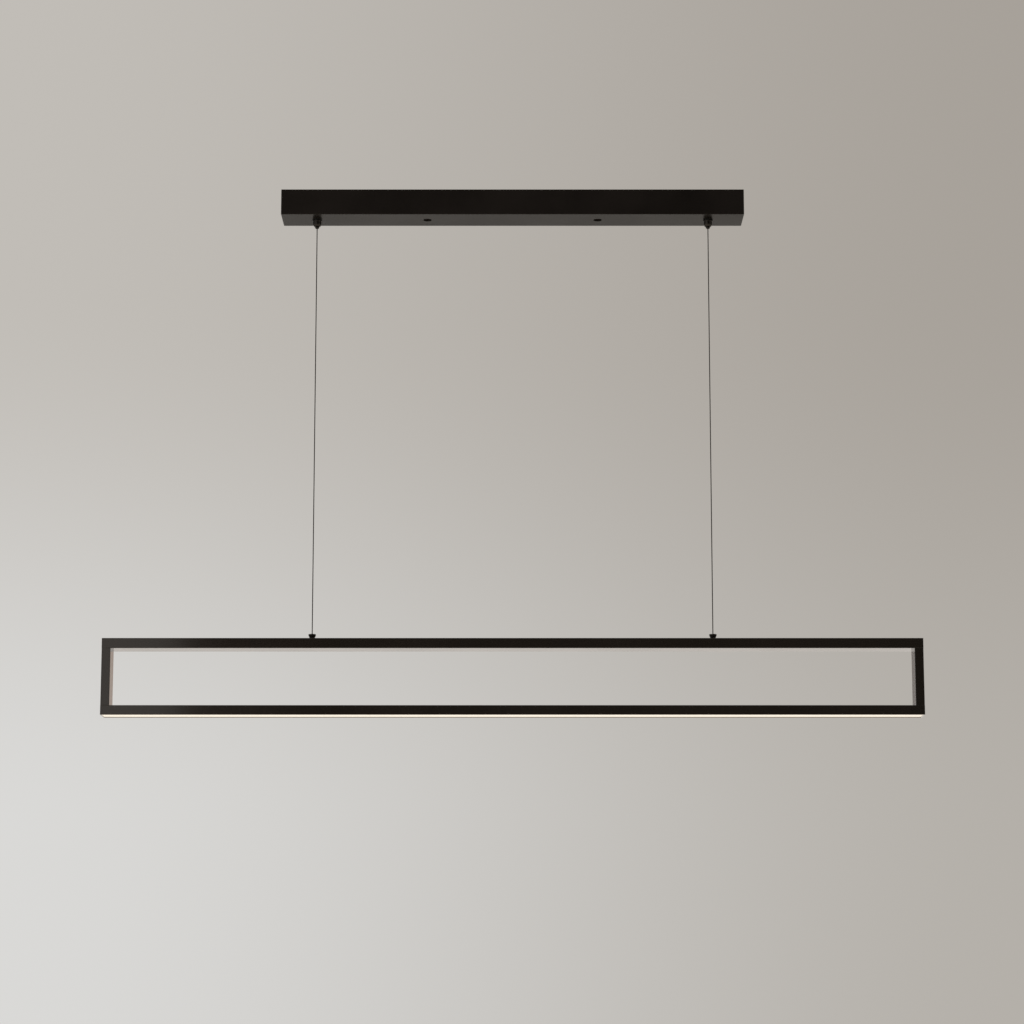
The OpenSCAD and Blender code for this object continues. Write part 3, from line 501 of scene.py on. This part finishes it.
for side in ("left", "right"):
    low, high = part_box(f"gripper_spring_{side}")
    x = (low.x + high.x) / 2
    coil_r = (high.x - low.x) / 2 - spring_wire
    rise = high.z - low.z - 2 * spring_wire
    steps = 20 * spring_turns
    bm = bmesh.new()
    upright = Matrix.Translation((x + coil_r, 0, low.z + spring_wire)) @ Matrix.Rotation(
        pi / 2, 4, "X"
    )
    bmesh.ops.create_circle(bm, segments=10, radius=spring_wire, matrix=upright)
    bmesh.ops.spin(
        bm, geom=bm.edges[:], cent=(x, 0, 0), axis=(0, 0, 1), dvec=(0, 0, rise / steps),
        angle=spring_turns * tau, steps=steps,
    )
    close_ends(bm)
    shade_round(bm, 60)
    spring = add_piece(
        f"spring_{side}", bm, "canopy", "spring_steel", [f"gripper_spring_{side}"]
    )
    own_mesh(spring)

# %% [markdown]
# ## Helpers for finishes
# A finish is a small network of shader nodes. These helpers add a node, feed one of its sockets
# from a value or another socket, and mix two colours. An effect that several finishes share is a
# node group with named inputs and outputs, so that it is built once and tuned in each place.

# %% Helpers for finishes
def put(tree, kind, **settings):
    node = tree.nodes.new(kind)
    for name, value in settings.items():
        setattr(node, name, value)
    return node


def feed(tree, socket, value):
    if isinstance(value, bpy.types.NodeSocket):
        tree.links.new(value, socket)
    else:
        socket.default_value = value


def calc(tree, operation, first, second=0.0, clamp=False):
    node = put(tree, "ShaderNodeMath", operation=operation, use_clamp=clamp)
    feed(tree, node.inputs[0], first)
    feed(tree, node.inputs[1], second)
    return node.outputs[0]


def blend_colour(tree, share, first, second):
    node = put(tree, "ShaderNodeMix", data_type="RGBA")
    for socket, value in ((0, share), (6, first), (7, second)):
        feed(tree, node.inputs[socket], value)
    return node.outputs[2]


def spread(tree, value, low, high, new_low, new_high):
    node = put(tree, "ShaderNodeMapRange", interpolation_type="SMOOTHSTEP")
    for socket, number in enumerate((value, low, high, new_low, new_high)):
        feed(tree, node.inputs[socket], number)
    return node.outputs[0]


def new_group(name, inputs, outputs):
    group = bpy.data.node_groups.new(name, "ShaderNodeTree")
    for label, kind in inputs:
        group.interface.new_socket(label, in_out="INPUT", socket_type="NodeSocket" + kind)
    for label, kind in outputs:
        group.interface.new_socket(label, in_out="OUTPUT", socket_type="NodeSocket" + kind)
    return group, put(group, "NodeGroupInput").outputs, put(group, "NodeGroupOutput").inputs


def use_group(tree, name, **values):
    node = put(tree, "ShaderNodeGroup", node_tree=bpy.data.node_groups[name])
    for label, value in values.items():
        feed(tree, node.inputs[label.replace("_", " ").capitalize()], value)
    return node.outputs


# %% [markdown]
# ## Shared effects
# **Grain** is the fine unevenness of a sprayed or moulded skin: soft bumps under a much finer
# grit. **Mottle** is the slow drift of tone that keeps a large face from looking printed.
# **Draw lines** are the marks that a lathe, a roller or a brush leaves, a noise stretched along
# the direction of the work. **Edge rub** finds how near a point is to the nearest edge of a
# box-shaped piece and is strongest there, broken up by noise, because edges are touched most.
# **Dust** settles on what faces up.

# %% Shared effects
def noise(tree, where, scale, detail=2.0, roughness=0.5):
    node = put(tree, "ShaderNodeTexNoise")
    feed(tree, node.inputs["Vector"], where)
    feed(tree, node.inputs["Scale"], scale)
    feed(tree, node.inputs["Detail"], detail)
    feed(tree, node.inputs["Roughness"], roughness)
    return node.outputs["Fac"]


group, given, result = new_group(
    "grain", [("Place", "Vector"), ("Scale", "Float"), ("Grit", "Float")],
    [("Height", "Float"), ("Speck", "Float")],
)
soft = noise(group, given["Place"], given["Scale"], 2)
grit = noise(group, given["Place"], calc(group, "MULTIPLY", given["Scale"], 5.3), 3, 0.6)
sharp = calc(group, "MULTIPLY", grit, given["Grit"])
feed(group, result["Height"], calc(group, "ADD", soft, sharp))
feed(group, result["Speck"], grit)

group, given, result = new_group(
    "mottle", [("Place", "Vector"), ("Scale", "Float")], [("Tone", "Float")]
)
cloud = noise(group, given["Place"], given["Scale"], 4, 0.55)
feed(group, result["Tone"], spread(group, cloud, 0.3, 0.7, 0, 1))

group, given, result = new_group(
    "draw lines", [("Place", "Vector"), ("Stretch", "Vector"), ("Scale", "Float")],
    [("Height", "Float"), ("Tone", "Float")],
)
stretched = put(group, "ShaderNodeVectorMath", operation="MULTIPLY")
feed(group, stretched.inputs[0], given["Place"])
feed(group, stretched.inputs[1], given["Stretch"])
lines = noise(group, stretched.outputs[0], given["Scale"], 5, 0.65)
feed(group, result["Height"], lines)
feed(group, result["Tone"], spread(group, lines, 0.35, 0.65, 0, 1))

group, given, result = new_group(
    "edge rub",
    [("Place", "Vector"), ("Centre", "Vector"), ("Half size", "Vector"), ("Width", "Float")],
    [("Rub", "Float")],
)
away = put(group, "ShaderNodeVectorMath", operation="SUBTRACT")
feed(group, away.inputs[0], given["Place"])
feed(group, away.inputs[1], given["Centre"])
size = put(group, "ShaderNodeVectorMath", operation="ABSOLUTE")
feed(group, size.inputs[0], away.outputs[0])
gap = put(group, "ShaderNodeVectorMath", operation="SUBTRACT")
feed(group, gap.inputs[0], given["Half size"])
feed(group, gap.inputs[1], size.outputs[0])
split = put(group, "ShaderNodeSeparateXYZ")
feed(group, split.inputs[0], gap.outputs[0])
nearer = calc(group, "MINIMUM", split.outputs[0], split.outputs[1])
farther = calc(group, "MAXIMUM", split.outputs[0], split.outputs[1])
to_edge = calc(group, "MAXIMUM", nearer, calc(group, "MINIMUM", farther, split.outputs[2]))
broken = calc(group, "MULTIPLY", noise(group, given["Place"], 260, 3), given["Width"])
on_edge = calc(group, "LESS_THAN", calc(group, "ABSOLUTE", to_edge), broken)
feed(group, result["Rub"], on_edge)

group, given, result = new_group(
    "dust", [("Place", "Vector"), ("Facing", "Vector"), ("Amount", "Float")], [("Film", "Float")]
)
split = put(group, "ShaderNodeSeparateXYZ")
feed(group, split.inputs[0], given["Facing"])
upward = spread(group, split.outputs[2], 0.4, 1, 0, 1)
patch = spread(group, noise(group, given["Place"], 45, 6, 0.7), 0.35, 0.75, 0.25, 1)
settled = calc(group, "MULTIPLY", upward, patch)
feed(group, result["Film"], calc(group, "MULTIPLY", settled, given["Amount"]))
print("shared effects:", [group.name for group in bpy.data.node_groups])

# %% [markdown]
# ## Starting a finish
# Each material slot of the CAD model already has a plain material. A finish clears its nodes and
# starts again from a Principled shader, with the place of each point in the piece's own space
# and the direction that the surface faces.

# %% Starting a finish
def start_finish(name, **shader_values):
    material = bpy.data.materials[name]
    material.use_nodes = True
    tree = material.node_tree
    tree.nodes.clear()
    shader = put(tree, "ShaderNodeBsdfPrincipled")
    feed(tree, put(tree, "ShaderNodeOutputMaterial").inputs["Surface"], shader.outputs[0])
    for label, value in shader_values.items():
        feed(tree, shader.inputs[label.replace("_", " ")], value)
    place = put(tree, "ShaderNodeTexCoord").outputs["Object"]
    facing = put(tree, "ShaderNodeNewGeometry").outputs["Normal"]
    return tree, shader.inputs, place, facing


def raise_surface(tree, sockets, height, depth, strength=0.6):
    bump = put(tree, "ShaderNodeBump")
    feed(tree, bump.inputs["Height"], height)
    feed(tree, bump.inputs["Distance"], depth)
    feed(tree, bump.inputs["Strength"], strength)
    feed(tree, sockets["Normal"], bump.outputs[0])


def rgb(red, green, blue):
    return (red, green, blue, 1)


# %% [markdown]
# ## Black powder coat
# The canopy and the frame share one finish: black polyester powder, melted on in an oven. It is
# a warm, nearly black skin with a satin gloss and a soft orange-peel surface. Long faces drift a
# little in tone, edges are rubbed slightly lighter and shinier, and what faces up has gathered
# a thin film of dust. The frame's smooth extrusions take the powder more evenly and have a clear
# lacquer over it, which is why its inner faces mirror the room at a grazing angle, while the
# folded canopy stays duller.

# %% Black powder coat
def powder_coat(name, boxes, satin, peel, lacquer, shine):
    tree, sockets, place, facing = start_finish(
        name, Specular_IOR_Level=shine, Specular_Tint=rgb(1, 0.86, 0.76), Coat_Weight=lacquer,
        Coat_Roughness=0.07,
    )
    grain = use_group(tree, "grain", place=place, scale=620.0, grit=0.35)
    mottle = use_group(tree, "mottle", place=place, scale=9.0)
    rub = 0.0
    for low, high in boxes:
        edge = use_group(
            tree, "edge rub", place=place, centre=(low + high) / 2, half_size=(high - low) / 2,
            width=0.9 * mm,
        )
        rub = calc(tree, "MAXIMUM", rub, edge["Rub"])
    dust = use_group(tree, "dust", place=place, facing=facing, amount=0.12)["Film"]
    skin = blend_colour(
        tree, mottle["Tone"], rgb(0.0052, 0.0042, 0.0036), rgb(0.0078, 0.0063, 0.0054)
    )
    rubbed = blend_colour(tree, calc(tree, "MULTIPLY", rub, 0.4), skin, rgb(0.018, 0.015, 0.012))
    feed(tree, sockets["Base Color"], blend_colour(tree, dust, rubbed, rgb(0.19, 0.175, 0.155)))
    gloss = calc(tree, "ADD", satin, calc(tree, "MULTIPLY", mottle["Tone"], 0.05))
    gloss = calc(tree, "ADD", gloss, calc(tree, "MULTIPLY", grain["Speck"], 0.06))
    gloss = calc(tree, "SUBTRACT", gloss, calc(tree, "MULTIPLY", rub, 0.06))
    feed(tree, sockets["Roughness"], calc(tree, "ADD", gloss, calc(tree, "MULTIPLY", dust, 0.5)))
    raise_surface(tree, sockets, grain["Height"], peel, 0.5)


canopy_boxes = [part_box("canopy_shell")]
frame_boxes = [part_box(node) for node in ("top_rail", "bottom_rail", "left_post", "right_post")]
powder_coat("canopy_black", canopy_boxes, satin=0.28, peel=0.03 * mm, lacquer=0.0, shine=0.165)
powder_coat("frame_black", frame_boxes, satin=0.16, peel=0.012 * mm, lacquer=0.8, shine=0.36)
print("powder coat on canopy and frame")

# %% [markdown]
# ## Metals
# All the metals share one recipe, with different colours, gloss and lines. Turned pieces carry
# fine rings, so their noise is squeezed along the height. Rolled sheet and drawn wire carry lines
# along their length. A slow mottle stands for the uneven plating, the tarnish or the oil.

# %% Metals
def metal(name, colour, worn, gloss, stretch, depth):
    tree, sockets, place, facing = start_finish(name, Metallic=1.0)
    drawn = use_group(tree, "draw lines", place=place, stretch=stretch, scale=900.0)
    mottle = use_group(tree, "mottle", place=place, scale=85.0)
    dust = use_group(tree, "dust", place=place, facing=facing, amount=0.1)["Film"]
    tone = calc(tree, "MULTIPLY", mottle["Tone"], 0.6)
    tone = calc(tree, "ADD", tone, calc(tree, "MULTIPLY", drawn["Tone"], 0.4))
    plated = blend_colour(tree, tone, rgb(*colour), rgb(*worn))
    feed(tree, sockets["Base Color"], blend_colour(tree, dust, plated, rgb(0.3, 0.28, 0.25)))
    rough = calc(tree, "ADD", gloss, calc(tree, "MULTIPLY", drawn["Tone"], 0.1))
    feed(tree, sockets["Roughness"], calc(tree, "ADD", rough, calc(tree, "MULTIPLY", tone, 0.1)))
    raise_surface(tree, sockets, drawn["Height"], depth)


rings, sheet_lines = (0.15, 0.15, 6.0), (0.05, 4.0, 1.0)
metal("gripper_black", (0.036, 0.032, 0.029), (0.058, 0.051, 0.045), 0.2, rings, 0.002 * mm)
metal("wire_steel", (0.028, 0.022, 0.018), (0.06, 0.05, 0.042), 0.38, (1.0, 1.0, 0.3), 0.02 * mm)
metal("spring_steel", (0.56, 0.56, 0.57), (0.38, 0.36, 0.34), 0.2, (1.0, 1.0, 3.0), 0.01 * mm)
metal("zinc_steel", (0.60, 0.61, 0.63), (0.46, 0.47, 0.49), 0.3, sheet_lines, 0.01 * mm)
metal("bare_brass", (0.72, 0.50, 0.20), (0.50, 0.31, 0.12), 0.25, rings, 0.01 * mm)
metal("black_screw", (0.05, 0.047, 0.044), (0.10, 0.09, 0.08), 0.3, rings, 0.01 * mm)
print("six metals")

# %% [markdown]
# ## Plastics, rubber and sleeving
# Moulded plastic takes the sparked texture of its mould, and sleeving has a slight draw and a
# bloom of talc. Both are a colour with grain, a slow drift of tone and a roughness that follows
# the grain. Rubber is the same with less gloss and more dust.

# %% Plastics, rubber and sleeving
def moulded(name, colour, gloss, grain_scale=1400.0, depth=0.02 * mm, dusty=0.12):
    tree, sockets, place, facing = start_finish(name)
    grain = use_group(tree, "grain", place=place, scale=grain_scale, grit=0.5)
    mottle = use_group(tree, "mottle", place=place, scale=120.0)
    dust = use_group(tree, "dust", place=place, facing=facing, amount=dusty)["Film"]
    deep = rgb(*(part * 0.82 for part in colour))
    tinted = blend_colour(tree, mottle["Tone"], rgb(*colour), deep)
    feed(tree, sockets["Base Color"], blend_colour(tree, dust, tinted, rgb(0.34, 0.32, 0.29)))
    rough = calc(tree, "ADD", gloss, calc(tree, "MULTIPLY", grain["Speck"], 0.12))
    feed(tree, sockets["Roughness"], rough)
    raise_surface(tree, sockets, grain["Height"], depth)
    return tree, sockets, place


moulded("black_rubber", (0.012, 0.012, 0.012), 0.62, 900.0, 0.03 * mm, 0.25)
moulded("black_nylon", (0.010, 0.0095, 0.009), 0.38)
moulded("nylon", (0.72, 0.70, 0.62), 0.4)
moulded("terminal_plastic", (0.66, 0.63, 0.55), 0.36)
moulded("driver_plastic", (0.74, 0.73, 0.68), 0.5, 2200.0)
moulded("live_insulation", (0.13, 0.045, 0.018), 0.4)
moulded("neutral_insulation", (0.02, 0.10, 0.34), 0.4)
moulded("dark_insulation", (0.014, 0.014, 0.015), 0.5)
moulded("red_insulation", (0.34, 0.022, 0.015), 0.5)
moulded("white_insulation", (0.74, 0.73, 0.69), 0.5)
moulded("thermal_white", (0.70, 0.69, 0.64), 0.7, 500.0, 0.05 * mm)

tree, sockets, place = moulded("earth_insulation", (0.10, 0.30, 0.03), 0.4)
split = put(tree, "ShaderNodeSeparateXYZ")
feed(tree, split.inputs[0], place)
stripe = calc(tree, "PINGPONG", calc(tree, "ADD", split.outputs[0], split.outputs[2]), 1.2 * mm)
yellow = calc(tree, "GREATER_THAN", stripe, 0.7 * mm)
green = sockets["Base Color"].links[0].from_socket
feed(tree, sockets["Base Color"], blend_colour(tree, yellow, green, rgb(0.75, 0.55, 0.02)))
print("plastics, rubber and sleeving")

# %% [markdown]
# ## Circuit boards and their parts
# A driver board is green solder mask over copper: the tracks show as slightly lighter bands with
# a clear gloss. The LED boards are white mask, so that they waste no light. The parts on the
# driver board differ along it, from terminals to capacitors and transformer, so their colour
# changes in steps along its length. An LED chip is a yellow phosphor in a white cup, and glows.

# %% Circuit boards and their parts
def circuit_board(name, mask, track, gloss):
    tree, sockets, place, facing = start_finish(name, Coat_Weight=0.4, Coat_Roughness=0.12)
    cells = put(tree, "ShaderNodeTexVoronoi", feature="DISTANCE_TO_EDGE")
    feed(tree, cells.inputs["Vector"], place)
    feed(tree, cells.inputs["Scale"], 150.0)
    lines = spread(tree, cells.outputs["Distance"], 0.03, 0.06, 1, 0)
    mottle = use_group(tree, "mottle", place=place, scale=60.0)
    share = calc(tree, "MULTIPLY", lines, calc(tree, "ADD", mottle["Tone"], 0.3), clamp=True)
    feed(tree, sockets["Base Color"], blend_colour(tree, share, rgb(*mask), rgb(*track)))
    feed(tree, sockets["Roughness"], calc(tree, "ADD", gloss, calc(tree, "MULTIPLY", share, 0.1)))
    raise_surface(tree, sockets, lines, 0.03 * mm)


circuit_board("board_green", (0.012, 0.12, 0.045), (0.035, 0.22, 0.08), 0.35)
circuit_board("board_white", (0.82, 0.82, 0.78), (0.74, 0.74, 0.70), 0.4)

tree, sockets, place, facing = start_finish("board_parts")
low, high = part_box("driver_components")
split = put(tree, "ShaderNodeSeparateXYZ")
feed(tree, split.inputs[0], place)
along = calc(tree, "DIVIDE", calc(tree, "SUBTRACT", split.outputs[0], low.x), high.x - low.x)
steps = put(tree, "ShaderNodeValToRGB")
steps.color_ramp.interpolation = "CONSTANT"
parts = [
    (0.0, (0.03, 0.14, 0.05)), (0.07, (0.42, 0.31, 0.12)), (0.16, (0.55, 0.38, 0.03)),
    (0.27, (0.012, 0.012, 0.014)), (0.32, (0.012, 0.03, 0.06)), (0.47, (0.60, 0.36, 0.07)),
    (0.67, (0.012, 0.03, 0.06)), (0.77, (0.14, 0.06, 0.02)), (0.93, (0.03, 0.14, 0.05)),
]
for stop, colour in parts:
    element = steps.color_ramp.elements.new(stop) if stop else steps.color_ramp.elements[0]
    element.color = rgb(*colour)
steps.color_ramp.elements.remove(steps.color_ramp.elements[-1])
feed(tree, steps.inputs[0], along)
grain = use_group(tree, "grain", place=place, scale=900.0, grit=0.4)
speck = calc(tree, "MULTIPLY", grain["Speck"], 0.3)
speckled = blend_colour(tree, speck, steps.outputs[0], rgb(0.2, 0.19, 0.17))
feed(tree, sockets["Base Color"], speckled)
feed(tree, sockets["Roughness"], calc(tree, "ADD", 0.3, speck))
raise_surface(tree, sockets, grain["Height"], 0.03 * mm)

tree, sockets, place, facing = start_finish("led_phosphor", Emission_Strength=2.0)
mottle = use_group(tree, "mottle", place=place, scale=1800.0)
phosphor = blend_colour(tree, mottle["Tone"], rgb(0.90, 0.62, 0.12), rgb(0.95, 0.74, 0.22))
feed(tree, sockets["Base Color"], phosphor)
feed(tree, sockets["Emission Color"], phosphor)
rough = calc(tree, "MULTIPLY", mottle["Tone"], 0.1)
feed(tree, sockets["Roughness"], calc(tree, "ADD", 0.25, rough))
print("boards, parts and chips")

# %% [markdown]
# ## The opal diffuser
# The strip is milky acrylic, lit from behind by two rows of warm-white LEDs, so it glows almost
# evenly. It is brightest along its middle, turns a little orange where its edges meet the black
# lips, and each LED leaves a faint swell of light. The glow is an emission whose colour follows
# the distance from the middle of the strip.

# %% The opal diffuser
tree, sockets, place, facing = start_finish("opal", Emission_Strength=0.66, Roughness=0.32)
low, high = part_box("diffuser")
split = put(tree, "ShaderNodeSeparateXYZ")
feed(tree, split.inputs[0], place)
across = calc(tree, "DIVIDE", split.outputs[1], high.y)
near_front = spread(tree, across, -0.2, -1.0, 0, 1)
near_back = spread(tree, across, 0.6, 1.0, 0, 0.8)
near_lip = calc(tree, "MAXIMUM", near_front, near_back)
led_pitch = 16.7 * mm
swell = calc(tree, "PINGPONG", split.outputs[0], led_pitch / 2)
swell = calc(tree, "MULTIPLY", spread(tree, swell, 0, led_pitch / 2, 0, 1), 0.05)
milk = use_group(tree, "mottle", place=place, scale=25.0)["Tone"]
glow = blend_colour(tree, near_lip, rgb(1.0, 0.945, 0.82), rgb(0.78, 0.49, 0.28))
glow = blend_colour(tree, swell, glow, rgb(0.9, 0.76, 0.55))
cloudy = calc(tree, "MULTIPLY", milk, 0.04)
glow = blend_colour(tree, cloudy, glow, rgb(0.9, 0.8, 0.62))
feed(tree, sockets["Emission Color"], glow)
grain = use_group(tree, "grain", place=place, scale=1500.0, grit=0.4)
skin = blend_colour(tree, milk, rgb(0.50, 0.48, 0.42), rgb(0.46, 0.44, 0.39))
feed(tree, sockets["Base Color"], skin)
raise_surface(tree, sockets, grain["Height"], 0.01 * mm)
print("diffuser glows")

# %% [markdown]
# ## Backdrop, floor and lamps
# The lamp hangs against a plain pale backdrop that is lighter to the lower left, as beside a
# window. Only what the camera and reflections see has that fall-off; the light that falls on the
# lamp from all round is an even, neutral grey. A pale floor lies where a table's room would be.
# A large soft lamp stands for the window on the left, and a weaker one fills in from the right.
#
# Black metal shows what it mirrors more than what lights it. So the two soft lamps are left out of
# reflections, and cards stand around the lamp instead, out of the camera's sight. A dark one
# behind the camera keeps the faces that look forward deep black, apart from the left end, where
# the mirrored room is still bright. Three behind the lamp are mirrored at a grazing angle: a
# white one low down by the top rail's underside, a warm one on the right by the left post and a
# dim one on the left by the right post.

# %% Backdrop, floor and lamps
world = bpy.data.worlds.new("backdrop")
bpy.context.scene.world = world
world.use_nodes = True
tree = world.node_tree
tree.nodes.clear()
split = put(tree, "ShaderNodeSeparateXYZ")
feed(tree, split.inputs[0], put(tree, "ShaderNodeTexCoord").outputs["Generated"])
rightward = spread(tree, split.outputs[0], -0.2, 0.2, 0, 1)
upward = spread(tree, split.outputs[2], 0.09, 0.28, 0, 1)
lower = blend_colour(tree, rightward, rgb(0.70, 0.695, 0.68), rgb(0.455, 0.43, 0.395))
upper = blend_colour(tree, rightward, rgb(0.535, 0.51, 0.475), rgb(0.385, 0.355, 0.32))
seen = put(tree, "ShaderNodeBackground")
feed(tree, seen.inputs["Color"], blend_colour(tree, upward, lower, upper))
lit = put(tree, "ShaderNodeBackground")
feed(tree, lit.inputs["Color"], rgb(0.62, 0.61, 0.59))
light_path = put(tree, "ShaderNodeLightPath").outputs
looking = calc(tree, "ADD", light_path["Is Camera Ray"], light_path["Is Glossy Ray"])
looking = calc(tree, "ADD", looking, light_path["Is Transmission Ray"], clamp=True)
choose = put(tree, "ShaderNodeMixShader")
feed(tree, choose.inputs[0], looking)
feed(tree, choose.inputs[1], lit.outputs[0])
feed(tree, choose.inputs[2], seen.outputs[0])
feed(tree, put(tree, "ShaderNodeOutputWorld").inputs["Surface"], choose.outputs[0])

room_half, below_lamp = 9, 1.6
bm = bmesh.new()
bmesh.ops.create_grid(bm, x_segments=1, y_segments=1, size=room_half)
bmesh.ops.translate(bm, vec=(0, 0, cad_low.z - below_lamp), verts=bm.verts)
add_stage("floor", bm, "pale_floor")
tree, sockets, place, facing = start_finish("pale_floor", Roughness=0.8)
cloud = use_group(tree, "mottle", place=place, scale=0.8)["Tone"]
paint = blend_colour(tree, cloud, rgb(0.74, 0.69, 0.62), rgb(0.71, 0.66, 0.59))
feed(tree, sockets["Base Color"], paint)


def card(name, centre, width, height, colour):
    bm = bmesh.new()
    bmesh.ops.create_grid(bm, x_segments=1, y_segments=1, size=0.5)
    bmesh.ops.scale(bm, vec=(width, height, 1), verts=bm.verts)
    bmesh.ops.rotate(bm, cent=(0, 0, 0), matrix=Matrix.Rotation(pi / 2, 3, "X"), verts=bm.verts)
    bmesh.ops.translate(bm, vec=centre, verts=bm.verts)
    piece = add_stage(name, bm, name)
    piece.visible_camera = piece.visible_diffuse = piece.visible_shadow = False
    tree, sockets, place, facing = start_finish(
        name, Base_Color=rgb(0, 0, 0), Roughness=1.0, Specular_IOR_Level=0.0, Emission_Strength=1.0
    )
    weave = noise(tree, place, 6.0, 4)
    faded = rgb(*(part * 0.9 for part in colour))
    feed(tree, sockets["Emission Color"], blend_colour(tree, weave, rgb(*colour), faded))


card("front_card", (1.7, -6, 1.2), 5.8, 5.8, (0.022, 0.014, 0.009))
card("under_card", (0, 6, -1.6), 4.4, 0.6, (0.92, 0.86, 0.80))
card("left_card", (-0.3, 6, 0.22), 0.34, 0.5, (0.20, 0.165, 0.145))
card("right_card", (0.3, 6, 0.22), 0.34, 0.5, (0.66, 0.53, 0.45))


middle = Vector((0, 0, -0.4))


def soft_lamp(name, place, size, watts):
    light = bpy.data.lights.new(name, "AREA")
    light.size = size
    light.energy = watts
    lamp = bpy.data.objects.new(name, light)
    lamp.location = place
    lamp.rotation_euler = (middle - Vector(place)).to_track_quat("-Z", "Y").to_euler()
    lamp.visible_camera = lamp.visible_glossy = False
    bpy.context.scene.collection.objects.link(lamp)


soft_lamp("window", (-3.0, -2.8, 0.5), 2.4, 80)
soft_lamp("fill", (3.2, -2.4, -0.6), 1.6, 12)
print("backdrop, floor, four cards and two soft lamps")

# %% [markdown]
# ## Box before and after
# The looks must not change the lamp's size, so its box is written down before and after.

# %% Box before and after
low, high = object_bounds()
print("box before and after", cad_low, low, cad_high, high)
